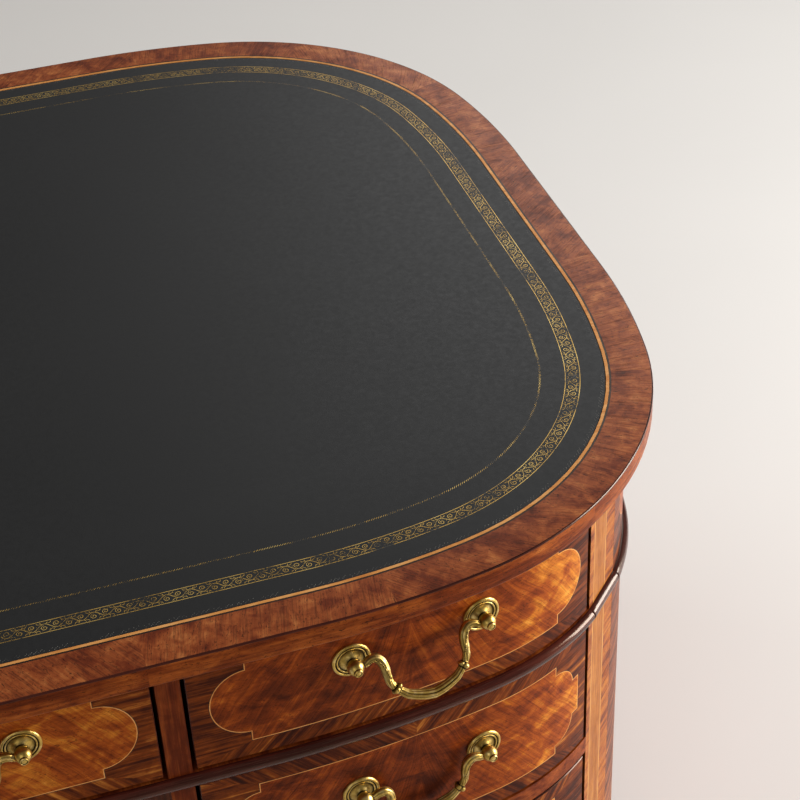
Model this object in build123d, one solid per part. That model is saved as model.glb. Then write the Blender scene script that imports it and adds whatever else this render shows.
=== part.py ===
from build123d import *
import os
from dataclasses import dataclass
from math import acos, asin, ceil, cos, radians, sin

# An oval pedestal desk with a leather writing top, seven drawers and swinging bail pulls.
# Millimetres. The origin is on the floor under the middle of the top. +X runs along the desk,
# the drawers open towards -Y, and +Z is up.

# Overall size
desk_length = 1830.0
desk_depth = 1000.0
desk_height = 775.0

# Outline of the top: straight sides joined by corners of three tangent arcs
top_end_straight = 224.8
top_corner_radius = 298.5
top_flank_sweep = 11.7

# Layers of the top
top_thickness = 22.0
top_arris_radius = 1.5
top_underside_radius = 3.0
crossband_width = 38.2
string_width = 2.8
leather_thickness = 1.5

# Outline of the carcase under the top, with a flat pilaster across each corner
top_overhang = 25.0
carcase_end_straight = 127.2
carcase_corner_radius = 239.0
carcase_flank_sweep = 10.83
pilaster_width = 54.6
pilaster_heading = 44.4

# Heights of the horizontal divisions, from the top downwards
frieze_height = 127.5
waist_height = 12.7
upper_opening_height = 147.2
divider_height = 19.2
base_moulding_height = 20.0
plinth_height = 78.0

# Mouldings and plinth
waist_projection = 6.4
waist_round_radius = 6.3
base_projection = 8.0
base_step_projection = 4.5
base_step_height = 8.0
plinth_thickness = 30.0
stave_rise = 2.0

# Boards of the carcase
panel_thickness = 20.0
kneehole_width = 797.0
stile_width = 20.0
modesty_thickness = 18.0
modesty_floor_gap = 160.0

# Drawers
front_thickness = 22.0
reveal = 3.5
level_reveal = 3.0
box_side_thickness = 12.0
box_side_inset = 3.0
box_bottom_thickness = 6.0
box_bottom_rise = 6.0
frieze_box_depth = 480.0
pedestal_box_depth = 560.0
runner_height = 4.0
runner_width = 15.0
runner_clearance = 0.3
runner_setback = 3.0
kicker_height = 12.0
kicker_clearance = 2.0

# Pulls: a round rosette and ball post at each end of a hanging bail
pull_span = 114.3
side_pull_offset = 10.0
centre_pull_inset = 163.5
frieze_pull_drop = 49.5
upper_pull_drop = 63.8
deep_pull_drop = 134.4
rosette_radius = 16.5
rosette_rim_height = 2.4
rosette_rim_width = 3.2
rosette_dish_height = 1.3
rosette_hub_radius = 6.0
rosette_hub_height = 3.2
post_neck_radius = 3.8
ball_radius = 7.0
ball_stand = 10.5
ball_boss_radius = 2.8
ball_boss_height = 1.4
bolt_radius = 2.4
bolt_clearance = 0.1
nut_radius = 5.0
nut_height = 3.5

# Bail, drawn hanging: the drop is measured from the pins' axis
pin_radius = 1.9
pin_clearance = 0.08
pin_depth = 6.0
pin_end_gap = 0.5
neck_radius = 3.1
neck_gap = 0.5
neck_bend_radius = 8.0
neck_x = 36.0
neck_bend_drop = 15.0
collar_x = 29.4
collar_drop = 27.3
collar_radius = 4.9
grip_drop = 41.0
grip_radius = 3.9
lifted_bail_angle = 30.0

# Levels worked out from the heights above
top_low = desk_height - top_thickness
waist_high = top_low - frieze_height
waist_low = waist_high - waist_height
divider_high = waist_low - upper_opening_height
divider_low = divider_high - divider_height
base_high = plinth_height + base_moulding_height
overrun = top_thickness


@dataclass
class Outline:
    """A rounded plan: half sizes, the straight of its ends, its corner arcs and a flat across them."""

    half_x: float
    half_y: float
    end_straight: float
    corner_radius: float
    flank_sweep: float
    flat_width: float = 0.0
    flat_heading: float = 0.0

    @property
    def turn(self):
        return radians(self.flank_sweep)

    @property
    def reach(self):
        """How far each corner reaches along both sides."""
        return self.half_y - self.end_straight / 2

    @property
    def flank_radius(self):
        """The radius that joins the corner's middle arc to both straight sides."""
        middle_reach = self.corner_radius * (cos(self.turn) - sin(self.turn))
        return (self.reach - middle_reach) / (sin(self.turn) + 1 - cos(self.turn))

    @property
    def corner_centre(self):
        run = self.flank_radius - self.corner_radius
        x = self.half_x - self.reach + run * sin(self.turn)
        y = self.half_y - self.flank_radius + run * cos(self.turn)
        return x, y

    def flat_turn(self, inset=0.0):
        """Half the angle that the corner's flat takes out of its arc."""
        half_flat = self.flat_width / 2
        flat_distance = (self.corner_radius**2 - half_flat**2) ** 0.5
        return acos((flat_distance - inset) / (self.corner_radius - inset))

    def corner_point(self, angle, inset=0.0):
        x, y = self.corner_centre
        radius = self.corner_radius - inset
        return x + radius * cos(angle), y + radius * sin(angle)


def around(centre, radius, angle):
    return centre[0] + radius * cos(angle), centre[1] + radius * sin(angle)


def corner_stretches(outline, inset=0.0):
    """The arcs of the corner at +X and +Y, from the long side to the end: centre, radius, angles."""
    right = radians(90)
    turn = outline.turn
    flank = outline.flank_radius - inset
    corner = outline.corner_radius - inset
    long_centre = (outline.half_x - outline.reach, outline.half_y - outline.flank_radius)
    end_centre = (outline.half_x - outline.flank_radius, outline.half_y - outline.reach)
    stretches = [(long_centre, flank, right, right - turn)]
    if outline.flat_width:
        flat = outline.flat_turn(inset)
        heading = radians(outline.flat_heading)
        stretches.append((outline.corner_centre, corner, right - turn, heading + flat))
        stretches.append((outline.corner_centre, corner, heading - flat, turn))
    else:
        stretches.append((outline.corner_centre, corner, right - turn, turn))
    stretches.append((end_centre, flank, turn, 0.0))
    return stretches


def corner_arcs(outline, inset):
    """The same arcs, each as three points."""
    return [
        [around(centre, radius, angle) for angle in (start, (start + end) / 2, end)]
        for centre, radius, start, end in corner_stretches(outline, inset)
    ]


def outline_face(outline, inset=0.0):
    """The plan drawn in by a distance, or out by a negative one, with every arc kept round."""
    quarter = corner_arcs(outline, inset)
    edges = []
    corners = []
    for x_sign, y_sign in ((1, 1), (1, -1), (-1, -1), (-1, 1)):
        arcs = [[(x_sign * x, y_sign * y) for x, y in arc] for arc in quarter]
        if x_sign != y_sign:
            arcs = [arc[::-1] for arc in arcs[::-1]]
        corners.append(arcs)
    for index, arcs in enumerate(corners):
        for arc in arcs:
            edges.append(ThreePointArc(*arc))
        for before, after in zip(arcs, arcs[1:]):
            if outline.flat_width and Vector(*before[-1]) != Vector(*after[0]):
                edges.append(Line(before[-1], after[0]))
        following = corners[(index + 1) % len(corners)]
        edges.append(Line(arcs[-1][-1], following[0][0]))
    return make_face(Curve() + edges)


def prism(outline, inset, low, high):
    return Pos(0, 0, low) * extrude(outline_face(outline, inset), high - low)


def block(x_low, x_high, y_low, y_high, z_low, z_high):
    box = Box(x_high - x_low, y_high - y_low, z_high - z_low)
    return Pos((x_low + x_high) / 2, (y_low + y_high) / 2, (z_low + z_high) / 2) * box


top_outline = Outline(
    desk_length / 2, desk_depth / 2, top_end_straight, top_corner_radius, top_flank_sweep
)
carcase = Outline(
    desk_length / 2 - top_overhang,
    desk_depth / 2 - top_overhang,
    carcase_end_straight,
    carcase_corner_radius,
    carcase_flank_sweep,
    pilaster_width,
    pilaster_heading,
)
kneehole_half = kneehole_width / 2
stile_outer_x = kneehole_half + stile_width
panel_inner_x = kneehole_half + panel_thickness
pilaster_x = carcase.corner_point(radians(pilaster_heading) + carcase.flat_turn())[0]
pilaster_y = carcase.corner_point(radians(pilaster_heading) - carcase.flat_turn())[1]
inner_y = carcase.half_y - panel_thickness
far_x = carcase.half_x + overrun
far_y = carcase.half_y + overrun


def shell(thickness, low, high):
    """The carcase's outer wall, all round."""
    return prism(carcase, 0, low, high) - prism(carcase, thickness, low, high)


def mirrored(shape):
    return mirror(shape, about=Plane.YZ)


def save(name, *solids):
    """One node: its separate solids in one file."""
    pieces = [solid for shape in solids for solid in shape.solids()]
    shape = pieces[0] if len(pieces) == 1 else Compound(children=pieces)
    export_step(shape, f"parts/{name}.step")


def save_pair(name, *solids):
    """The same node for the right and the left pedestal."""
    save(f"{name}_right", *solids)
    save(f"{name}_left", *[mirrored(solid) for solid in solids])


def with_mirror(*solids):
    return list(solids) + [mirrored(solid) for solid in solids]


def edges_at(shape, height):
    return shape.edges().filter_by(lambda edge: abs(edge.center().Z - height) < top_arris_radius / 100)


def make_top():
    """Core board, crossbanded lipping, string inlay and the leather let into them."""
    leather_low = desk_height - leather_thickness
    leather_inset = crossband_width + string_width
    lipping = prism(top_outline, 0, top_low, desk_height)
    lipping = fillet(edges_at(lipping, desk_height), top_arris_radius)
    lipping = fillet(edges_at(lipping, top_low), top_underside_radius)
    save("top_crossband", lipping - prism(top_outline, crossband_width, top_low, desk_height))
    save("top_panel", prism(top_outline, crossband_width, top_low, leather_low))
    string = prism(top_outline, crossband_width, leather_low, desk_height)
    leather = prism(top_outline, leather_inset, leather_low, desk_height)
    save("top_stringing", string - leather)
    save("writing_leather", leather)


def end_panel(low, high):
    return shell(panel_thickness, low, high) & block(0, far_x, -pilaster_y, pilaster_y, low, high)


def pilaster(y_sign, low, high):
    """The canted post at the right of the front or of the back."""
    y_low, y_high = sorted((y_sign * pilaster_y, y_sign * far_y))
    return shell(panel_thickness, low, high) & block(pilaster_x, far_x, y_low, y_high, low, high)


def inner_board(x_low, x_high, low, high):
    """An upright board or a layer that fits inside the carcase's wall."""
    inside = prism(carcase, panel_thickness, low, high)
    return inside & block(x_low, x_high, -far_y, far_y, low, high)


def front_strip(x_low, x_high, low, high):
    """A stretch of the front wall, such as a stile or a rail."""
    return shell(panel_thickness, low, high) & block(x_low, x_high, -far_y, 0, low, high)


def make_frieze():
    """The drawer case under the top, on a dust board edged by the waist moulding."""
    save_pair("frieze_end", end_panel(waist_high, top_low))
    wall = shell(panel_thickness, waist_high, top_low)
    save("frieze_back", wall & block(-pilaster_x, pilaster_x, 0, far_y, waist_high, top_low))
    posts = [pilaster(y_sign, waist_high, top_low) for y_sign in (-1, 1)]
    save("frieze_pilasters", *with_mirror(*posts))
    stile = front_strip(kneehole_half, stile_outer_x, waist_high, top_low)
    save("frieze_stiles", *with_mirror(stile))
    partition = inner_board(kneehole_half, panel_inner_x, waist_high, top_low)
    save("frieze_partitions", *with_mirror(partition))
    save("frieze_dust_board", prism(carcase, 0, waist_low, waist_high))
    save("waist_moulding", make_waist_moulding())


def make_waist_moulding():
    """A half-round bead all round the edge of the dust board."""
    bead = prism(carcase, -waist_projection, waist_low, waist_high)
    bead = fillet(edges_at(bead, waist_low) + edges_at(bead, waist_high), waist_round_radius)
    return bead - prism(carcase, 0, waist_low, waist_high)


def pedestal_prism(inset, low, high):
    """The right pedestal's plan drawn in or out on all four sides."""
    side = kneehole_half + inset
    return prism(carcase, inset, low, high) & block(side, far_x, -far_y, far_y, low, high)


def make_base_moulding():
    """Two fascias that step in from the plinth to the pedestal."""
    step_low = base_high - base_step_height
    moulding = pedestal_prism(-base_projection, plinth_height, step_low)
    moulding += pedestal_prism(-base_step_projection, step_low, base_high)
    return moulding - pedestal_prism(0, plinth_height, base_high)


def stave(centre, radius, ends):
    """The space of one stave of the plinth between two angles of an arc of the carcase."""
    inner = radius - plinth_thickness - overrun
    outer = radius + base_projection + overrun
    near = [around(centre, inner, angle) for angle in ends]
    far = [around(centre, outer, angle) for angle in reversed(ends)]
    return extrude(make_face(Polyline(*near, *far, close=True)), plinth_height)


def plinth_spaces():
    """The spaces of the plinth's boards and staves, apart from its inner board."""
    before, after = corner_stretches(carcase)[1:3]
    flat = (carcase.corner_centre, carcase.corner_radius, before[3], after[2])
    spaces = []
    for centre, radius, start, end in corner_stretches(carcase) + [flat]:
        widest = 2 * acos(1 - stave_rise / radius)
        count = ceil((start - end) / widest)
        step = (end - start) / count
        for index in range(count):
            ends = (start + step * index, start + step * (index + 1))
            spaces.append(stave(centre, radius, ends))
    straight_x = carcase.half_x - carcase.reach
    spaces.append(block(0, straight_x, 0, far_y, 0, plinth_height))
    spaces += [mirror(space, about=Plane.XZ) for space in spaces]
    half_end = carcase.end_straight / 2
    spaces.append(block(straight_x, far_x, -half_end, half_end, 0, plinth_height))
    return spaces


def make_plinth():
    """An inner board, and round it straight boards and short staves that follow the curves."""
    plinth = pedestal_prism(-base_projection, 0, plinth_height)
    plinth -= pedestal_prism(plinth_thickness - base_projection, 0, plinth_height)
    side = kneehole_half - base_projection
    board = plinth & block(side, side + plinth_thickness, -far_y, far_y, 0, plinth_height)
    rest = plinth - board
    pieces = [board]
    for space in plinth_spaces():
        pieces += (rest & space).solids()
    return pieces


def make_pedestals():
    """Side, end, back, posts, stile, rails and boards of both pedestals, and their plinths."""
    low, high = plinth_height, waist_low
    save_pair("pedestal_inner_side", inner_board(kneehole_half, panel_inner_x, low, high))
    save_pair("pedestal_end", end_panel(low, high))
    wall = shell(panel_thickness, low, high)
    back = wall & block(kneehole_half, pilaster_x, 0, far_y, low, high)
    save_pair("pedestal_back", back)
    save_pair("pedestal_pilasters", *[pilaster(y_sign, low, high) for y_sign in (-1, 1)])
    save("pedestal_stiles", *with_mirror(front_strip(kneehole_half, stile_outer_x, low, high)))
    rails = [
        front_strip(stile_outer_x, pilaster_x, divider_low, divider_high),
        front_strip(stile_outer_x, pilaster_x, low, base_high),
    ]
    save_pair("pedestal_rails", *rails)
    board = inner_board(panel_inner_x, far_x, divider_low, divider_high)
    save("pedestal_dust_boards", *with_mirror(board))
    save("pedestal_bottoms", *with_mirror(inner_board(panel_inner_x, far_x, low, base_high)))
    save_pair("plinth", *make_plinth())
    save("base_mouldings", *with_mirror(make_base_moulding()))
    modesty = inner_board(-kneehole_half, kneehole_half, modesty_floor_gap, high)
    slab = (inner_y - modesty_thickness, inner_y, modesty_floor_gap, high)
    save("modesty_panel", modesty & block(-kneehole_half, kneehole_half, *slab))


@dataclass
class Drawer:
    """A drawer by the edges of its opening, the depth of its box and the places of its pulls."""

    name: str
    opening_x: tuple
    opening_z: tuple
    box_depth: float
    pull_mids: tuple
    pull_drop: float
    lifts: tuple

    @property
    def box_x(self):
        low, high = self.opening_x
        inset = reveal + box_side_inset
        return low + inset, high - inset

    @property
    def box_z(self):
        low, high = self.opening_z
        return low + runner_height + runner_clearance, high - kicker_height - kicker_clearance

    @property
    def box_back_y(self):
        return self.box_depth - carcase.half_y + front_thickness


def side_drawers(name, opening_z, box_depth, pull_drop, right_lift=0.0):
    """The right and the left drawer of one level."""
    low, high = stile_outer_x, pilaster_x
    mid = (low + high) / 2 + side_pull_offset
    return [
        Drawer(f"{name}_right", (low, high), opening_z, box_depth, (mid,), pull_drop, (right_lift,)),
        Drawer(f"{name}_left", (-high, -low), opening_z, box_depth, (-mid,), pull_drop, (0.0,)),
    ]


def all_drawers():
    frieze_z = (waist_high, top_low)
    centre_mid = kneehole_half - centre_pull_inset
    centre = Drawer(
        "frieze_centre",
        (-kneehole_half, kneehole_half),
        frieze_z,
        frieze_box_depth,
        (-centre_mid, centre_mid),
        frieze_pull_drop,
        (0.0, 0.0),
    )
    drawers = side_drawers("frieze", frieze_z, frieze_box_depth, frieze_pull_drop, lifted_bail_angle)
    drawers.append(centre)
    upper_z = (divider_high, waist_low)
    drawers += side_drawers("upper", upper_z, pedestal_box_depth, upper_pull_drop)
    deep_z = (base_high, divider_low)
    drawers += side_drawers("deep", deep_z, pedestal_box_depth, deep_pull_drop)
    return drawers


def front_place(x, height):
    """The plane that touches the carcase's front at a point: X along it, Y up and Z outwards."""
    straight_x = carcase.half_x - carcase.reach
    beyond = abs(x) - straight_x
    flank = carcase.flank_radius
    centre_x, centre_y = carcase.corner_centre
    if beyond <= 0:
        turn, y = 0.0, carcase.half_y
    elif beyond <= flank * sin(carcase.turn):
        turn = asin(beyond / flank)
        y = carcase.half_y - flank * (1 - cos(turn))
    else:
        turn = asin((abs(x) - centre_x) / carcase.corner_radius)
        y = centre_y + carcase.corner_radius * cos(turn)
    turn = turn if x > 0 else -turn
    return Plane((x, -y, height), x_dir=(cos(turn), sin(turn), 0), z_dir=(sin(turn), -cos(turn), 0))


def pull_places(drawer, mid):
    """The planes of one pull's two rosettes."""
    height = drawer.opening_z[1] - drawer.pull_drop
    return [front_place(mid + sign * pull_span / 2, height) for sign in (-1, 1)]


def ball_centre(place):
    return place.origin + place.z_dir * ball_stand


def bail_plane(drawer, mid):
    """Midway between the balls: X along the pins, Y up, Z outwards."""
    low, high = [ball_centre(place) for place in pull_places(drawer, mid)]
    along = (high - low).normalized()
    return Plane((low + high) / 2, x_dir=along, z_dir=(along.Y, -along.X, 0))


def half_pin_span(drawer, mid):
    low, high = [ball_centre(place) for place in pull_places(drawer, mid)]
    return (high - low).length / 2


def rosette_post():
    """Rosette, neck, ball and boss in one casting with its bolt, Z outwards from the drawer."""
    rim_inner = rosette_radius - rosette_rim_width
    ball_top = ball_stand + (ball_radius**2 - ball_boss_radius**2) ** 0.5
    bolt_end = -(front_thickness + nut_height + bolt_radius)
    profile = Polyline(
        (0, bolt_end),
        (bolt_radius, bolt_end),
        (bolt_radius, 0),
        (rosette_radius, 0),
        (rosette_radius, rosette_rim_height / 2),
        (rosette_radius - rosette_rim_width / 2, rosette_rim_height),
        (rim_inner, rosette_dish_height),
        (rosette_hub_radius, rosette_dish_height),
        (post_neck_radius, rosette_hub_height),
        (post_neck_radius, ball_stand),
        (0, ball_stand),
        close=True,
    )
    casting = revolve(Plane.XZ * make_face(profile), Axis.Z)
    casting += Pos(0, 0, ball_stand) * Sphere(ball_radius)
    boss_height = ball_top + ball_boss_height - ball_stand
    casting += Pos(0, 0, ball_stand + boss_height / 2) * Cylinder(ball_boss_radius, boss_height)
    return casting


def pull_mounts(drawer, mid):
    """Two posts drilled for the bail's pins, and their nuts inside the drawer."""
    pieces = []
    hanging = bail_plane(drawer, mid)
    for place, inward in zip(pull_places(drawer, mid), (1, -1)):
        post = place * rosette_post()
        drill = Plane(ball_centre(place), z_dir=hanging.x_dir * inward)
        length = ball_radius + overrun
        start = ball_radius - pin_depth
        bore = Pos(0, 0, start + length / 2) * Cylinder(pin_radius + pin_clearance, length)
        pieces.append(post - drill * bore)
        nut_mid = -front_thickness - bolt_clearance - nut_height / 2
        nut = Pos(0, 0, nut_mid) * Cylinder(nut_radius, nut_height)
        nut -= Pos(0, 0, nut_mid) * Cylinder(bolt_radius + bolt_clearance, overrun)
        pieces.append(place * nut)
    return pieces


def half_bail(span):
    """Pin, swan neck and collar on the +X side of a hanging bail."""
    neck_start = span - ball_radius - neck_gap
    pin_end = span - (ball_radius - pin_depth) - pin_end_gap
    bend_x = neck_x + neck_bend_radius
    pin_length = pin_end - neck_start
    pin = Pos(neck_start + pin_length / 2, 0, 0) * Rot(0, 90, 0) * Cylinder(pin_radius, pin_length)
    level = Line((neck_start, 0), (bend_x, 0))
    bend = TangentArc((bend_x, 0), (neck_x, -neck_bend_radius), tangent=(-1, 0))
    fall = Line((neck_x, -neck_bend_radius), (neck_x, -neck_bend_drop))
    foot = TangentArc((neck_x, -neck_bend_drop), (collar_x, -collar_drop), tangent=(0, -1))
    path = Wire([level.edge(), bend.edge(), fall.edge(), foot.edge()])
    section = Plane((neck_start, 0, 0), z_dir=(-1, 0, 0)) * Circle(neck_radius)
    neck = sweep(section, path)
    collar = Pos(collar_x, -collar_drop, 0) * Sphere(collar_radius)
    return pin + neck + collar


def bail(drawer, mid, lift):
    """The whole bail in its place, swung out by an angle from hanging straight down."""
    side = half_bail(half_pin_span(drawer, mid))
    arc = ThreePointArc((collar_x, -collar_drop), (0, -grip_drop), (-collar_x, -collar_drop))
    section = Plane(arc @ 0, z_dir=arc % 0) * Circle(grip_radius)
    shape = side + mirror(side, about=Plane.YZ) + sweep(section, arc)
    return bail_plane(drawer, mid) * Rot(-lift, 0, 0) * shape


def drawer_front(drawer):
    """The veneered front, bent to the carcase and bored for its pulls."""
    low, high = drawer.opening_z
    z_low, z_high = low + level_reveal, high - level_reveal
    x_low, x_high = drawer.opening_x
    wall = shell(front_thickness, z_low, z_high)
    front = wall & block(x_low + reveal, x_high - reveal, -far_y, 0, z_low, z_high)
    for mid in drawer.pull_mids:
        for place in pull_places(drawer, mid):
            front -= place * Cylinder(bolt_radius + bolt_clearance, 2 * (front_thickness + overrun))
    return front


def drawer_box(drawer):
    """Sides, back and bottom as separate boards. The sides and bottom meet the bent front."""
    x_low, x_high = drawer.box_x
    z_low, z_high = drawer.box_z
    y_back = drawer.box_back_y
    fits_front = prism(carcase, front_thickness, z_low, z_high)
    inner_low, inner_high = x_low + box_side_thickness, x_high - box_side_thickness
    sides = [
        fits_front & block(x_low, inner_low, -far_y, y_back, z_low, z_high),
        fits_front & block(inner_high, x_high, -far_y, y_back, z_low, z_high),
    ]
    back = block(inner_low, inner_high, y_back - box_side_thickness, y_back, z_low, z_high)
    bottom_low = z_low + box_bottom_rise
    bottom_high = bottom_low + box_bottom_thickness
    bottom = fits_front & block(
        inner_low, inner_high, -far_y, y_back - box_side_thickness, bottom_low, bottom_high
    )
    return sides + [back, bottom]


def runners(drawer):
    """Strips under the drawer's sides, lying on the board below."""
    return side_strips(drawer, drawer.opening_z[0], drawer.opening_z[0] + runner_height)


def kickers(drawer):
    """Strips over the drawer's sides, which keep it level when it is pulled out."""
    return side_strips(drawer, drawer.opening_z[1] - kicker_height, drawer.opening_z[1])


def side_strips(drawer, low, high):
    x_low, x_high = drawer.box_x
    behind_front = prism(carcase, front_thickness + runner_setback, low, high)
    strips = []
    for start, end in ((x_low, x_low + runner_width), (x_high - runner_width, x_high)):
        strips.append(behind_front & block(start, end, -far_y, drawer.box_back_y, low, high))
    return strips


def make_drawers():
    all_runners = []
    all_kickers = []
    for drawer in all_drawers():
        save(f"{drawer.name}_front", drawer_front(drawer))
        save(f"{drawer.name}_box", *drawer_box(drawer))
        mounts = [piece for mid in drawer.pull_mids for piece in pull_mounts(drawer, mid)]
        save(f"{drawer.name}_pull_posts", *mounts)
        for index, (mid, lift) in enumerate(zip(drawer.pull_mids, drawer.lifts)):
            suffix = f"_{index + 1}" if len(drawer.pull_mids) > 1 else ""
            save(f"{drawer.name}_bail{suffix}", bail(drawer, mid, lift))
        all_runners += runners(drawer)
        all_kickers += kickers(drawer)
    save("drawer_runners", *all_runners)
    save("drawer_kickers", *all_kickers)


def make_desk():
    os.makedirs("parts", exist_ok=True)
    make_top()
    make_frieze()
    make_pedestals()
    make_drawers()


make_desk()
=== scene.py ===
import bpy
import random
from math import acos, ceil, cos, hypot, pi, radians, sin, sqrt
from mathutils import Matrix, Vector
from mathutils.geometry import delaunay_2d_cdt


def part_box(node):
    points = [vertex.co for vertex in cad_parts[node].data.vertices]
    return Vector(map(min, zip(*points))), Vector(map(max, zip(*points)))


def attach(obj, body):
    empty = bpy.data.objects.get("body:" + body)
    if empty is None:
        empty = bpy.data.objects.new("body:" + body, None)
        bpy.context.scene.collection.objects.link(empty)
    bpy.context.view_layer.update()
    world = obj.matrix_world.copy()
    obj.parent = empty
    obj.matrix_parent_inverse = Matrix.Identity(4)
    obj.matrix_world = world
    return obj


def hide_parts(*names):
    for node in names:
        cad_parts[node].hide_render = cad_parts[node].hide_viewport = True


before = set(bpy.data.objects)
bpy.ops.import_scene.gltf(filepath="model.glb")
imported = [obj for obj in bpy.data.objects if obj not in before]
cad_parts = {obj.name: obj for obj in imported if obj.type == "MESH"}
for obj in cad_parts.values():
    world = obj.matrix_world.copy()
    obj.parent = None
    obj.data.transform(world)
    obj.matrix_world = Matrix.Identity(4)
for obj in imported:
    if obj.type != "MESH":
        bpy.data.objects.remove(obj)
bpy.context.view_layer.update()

# The looks of an oval pedestal desk: inlaid mahogany veneers, a tooled leather top and brass pulls.
# Metres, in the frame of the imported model: +X along the desk, the drawers face -Y, +Z is up.

# Outline of the top and of the carcase under it
top_end_straight = 0.2248
top_corner_radius = 0.2985
top_flank_sweep = 11.7
top_overhang = 0.025
carcase_end_straight = 0.1272
carcase_corner_radius = 0.239
carcase_flank_sweep = 10.83
pilaster_width = 0.0546
pilaster_heading = 44.4

# Edge of the top
top_arris_radius = 0.0015
top_underside_radius = 0.003
crossband_width = 0.0382
string_width = 0.0028
ebony_line_width = 0.0018
leather_thickness = 0.0015
leather_sink = 0.00015
leather_edge_sink = 0.0009
leather_edge_round = 0.0024

# Tooling, measured inwards from the edge of the leather, with strokes as wide as they need to show
tooling_lift = 0.00006
scroll_band_outer = 0.0227
scroll_band_inner = 0.0356
scroll_length = 0.019
tooled_line_width = 0.0006
scroll_width = 0.0005
rope_inset = 0.058
rope_pitch = 0.0021
rope_height = 0.0019
tick_inset = 0.0016
tick_pitch = 0.0013
tick_length = 0.0008
tick_width = 0.0005
tick_group = 14
tick_rows = 3
tick_share = 0.8
tick_chance = 0.8
tick_row_share = 0.8
stroke_taper_share = 0.6

# Mouldings
waist_projection = 0.0064
waist_round_radius = 0.0063
bead_steps = 8
bead_leaf = 0.3

# Drawer fronts and inlaid panels
front_thickness = 0.022
front_gap = 0.0035
wall_thickness = 0.02
front_arris = 0.0006
board_arris = 0.0003
inlay_string = 0.0008
inlay_shadow = 0.0005
facet_length = 0.009
mitre_notch = 0.0011
corner_cosine = 0.999
border_slant = 48.0
field_shift = 0.002

# Pulls
pull_span = 0.1143
side_pull_offset = 0.01
centre_pull_inset = 0.1635
ball_stand = 0.0105
ball_radius = 0.007
neck_gap = 0.0004
pin_radius = 0.0019
pin_end_gap = 0.0015
lifted_bail_angle = 30.0

# Camera, from the outline of the top in the photograph
camera_place = (0.299, -1.54605, 1.78645)
camera_yaw = 0.27872722
camera_pitch = 0.64440695
camera_roll = -0.04892696
camera_lens = 87.02
sensor_width = 36.0


# Plans

class Straight:
    """A straight run of a plan, with the way out of it on the right of the travel."""

    def __init__(self, start, end):
        self.start = start
        self.end = end
        self.length = (end - start).length
        along = (end - start).normalized()
        self.out = Vector((along.y, -along.x))

    def at(self, share):
        return self.start.lerp(self.end, share), self.out


class Arc:
    """An arc of a plan between two angles."""

    def __init__(self, centre, radius, start, end):
        self.centre = Vector(centre)
        self.radius = radius
        self.start = start
        self.end = end
        self.length = radius * (end - start)

    def at(self, share):
        angle = self.start + (self.end - self.start) * share
        out = Vector((cos(angle), sin(angle)))
        return self.centre + out * self.radius, out


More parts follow.
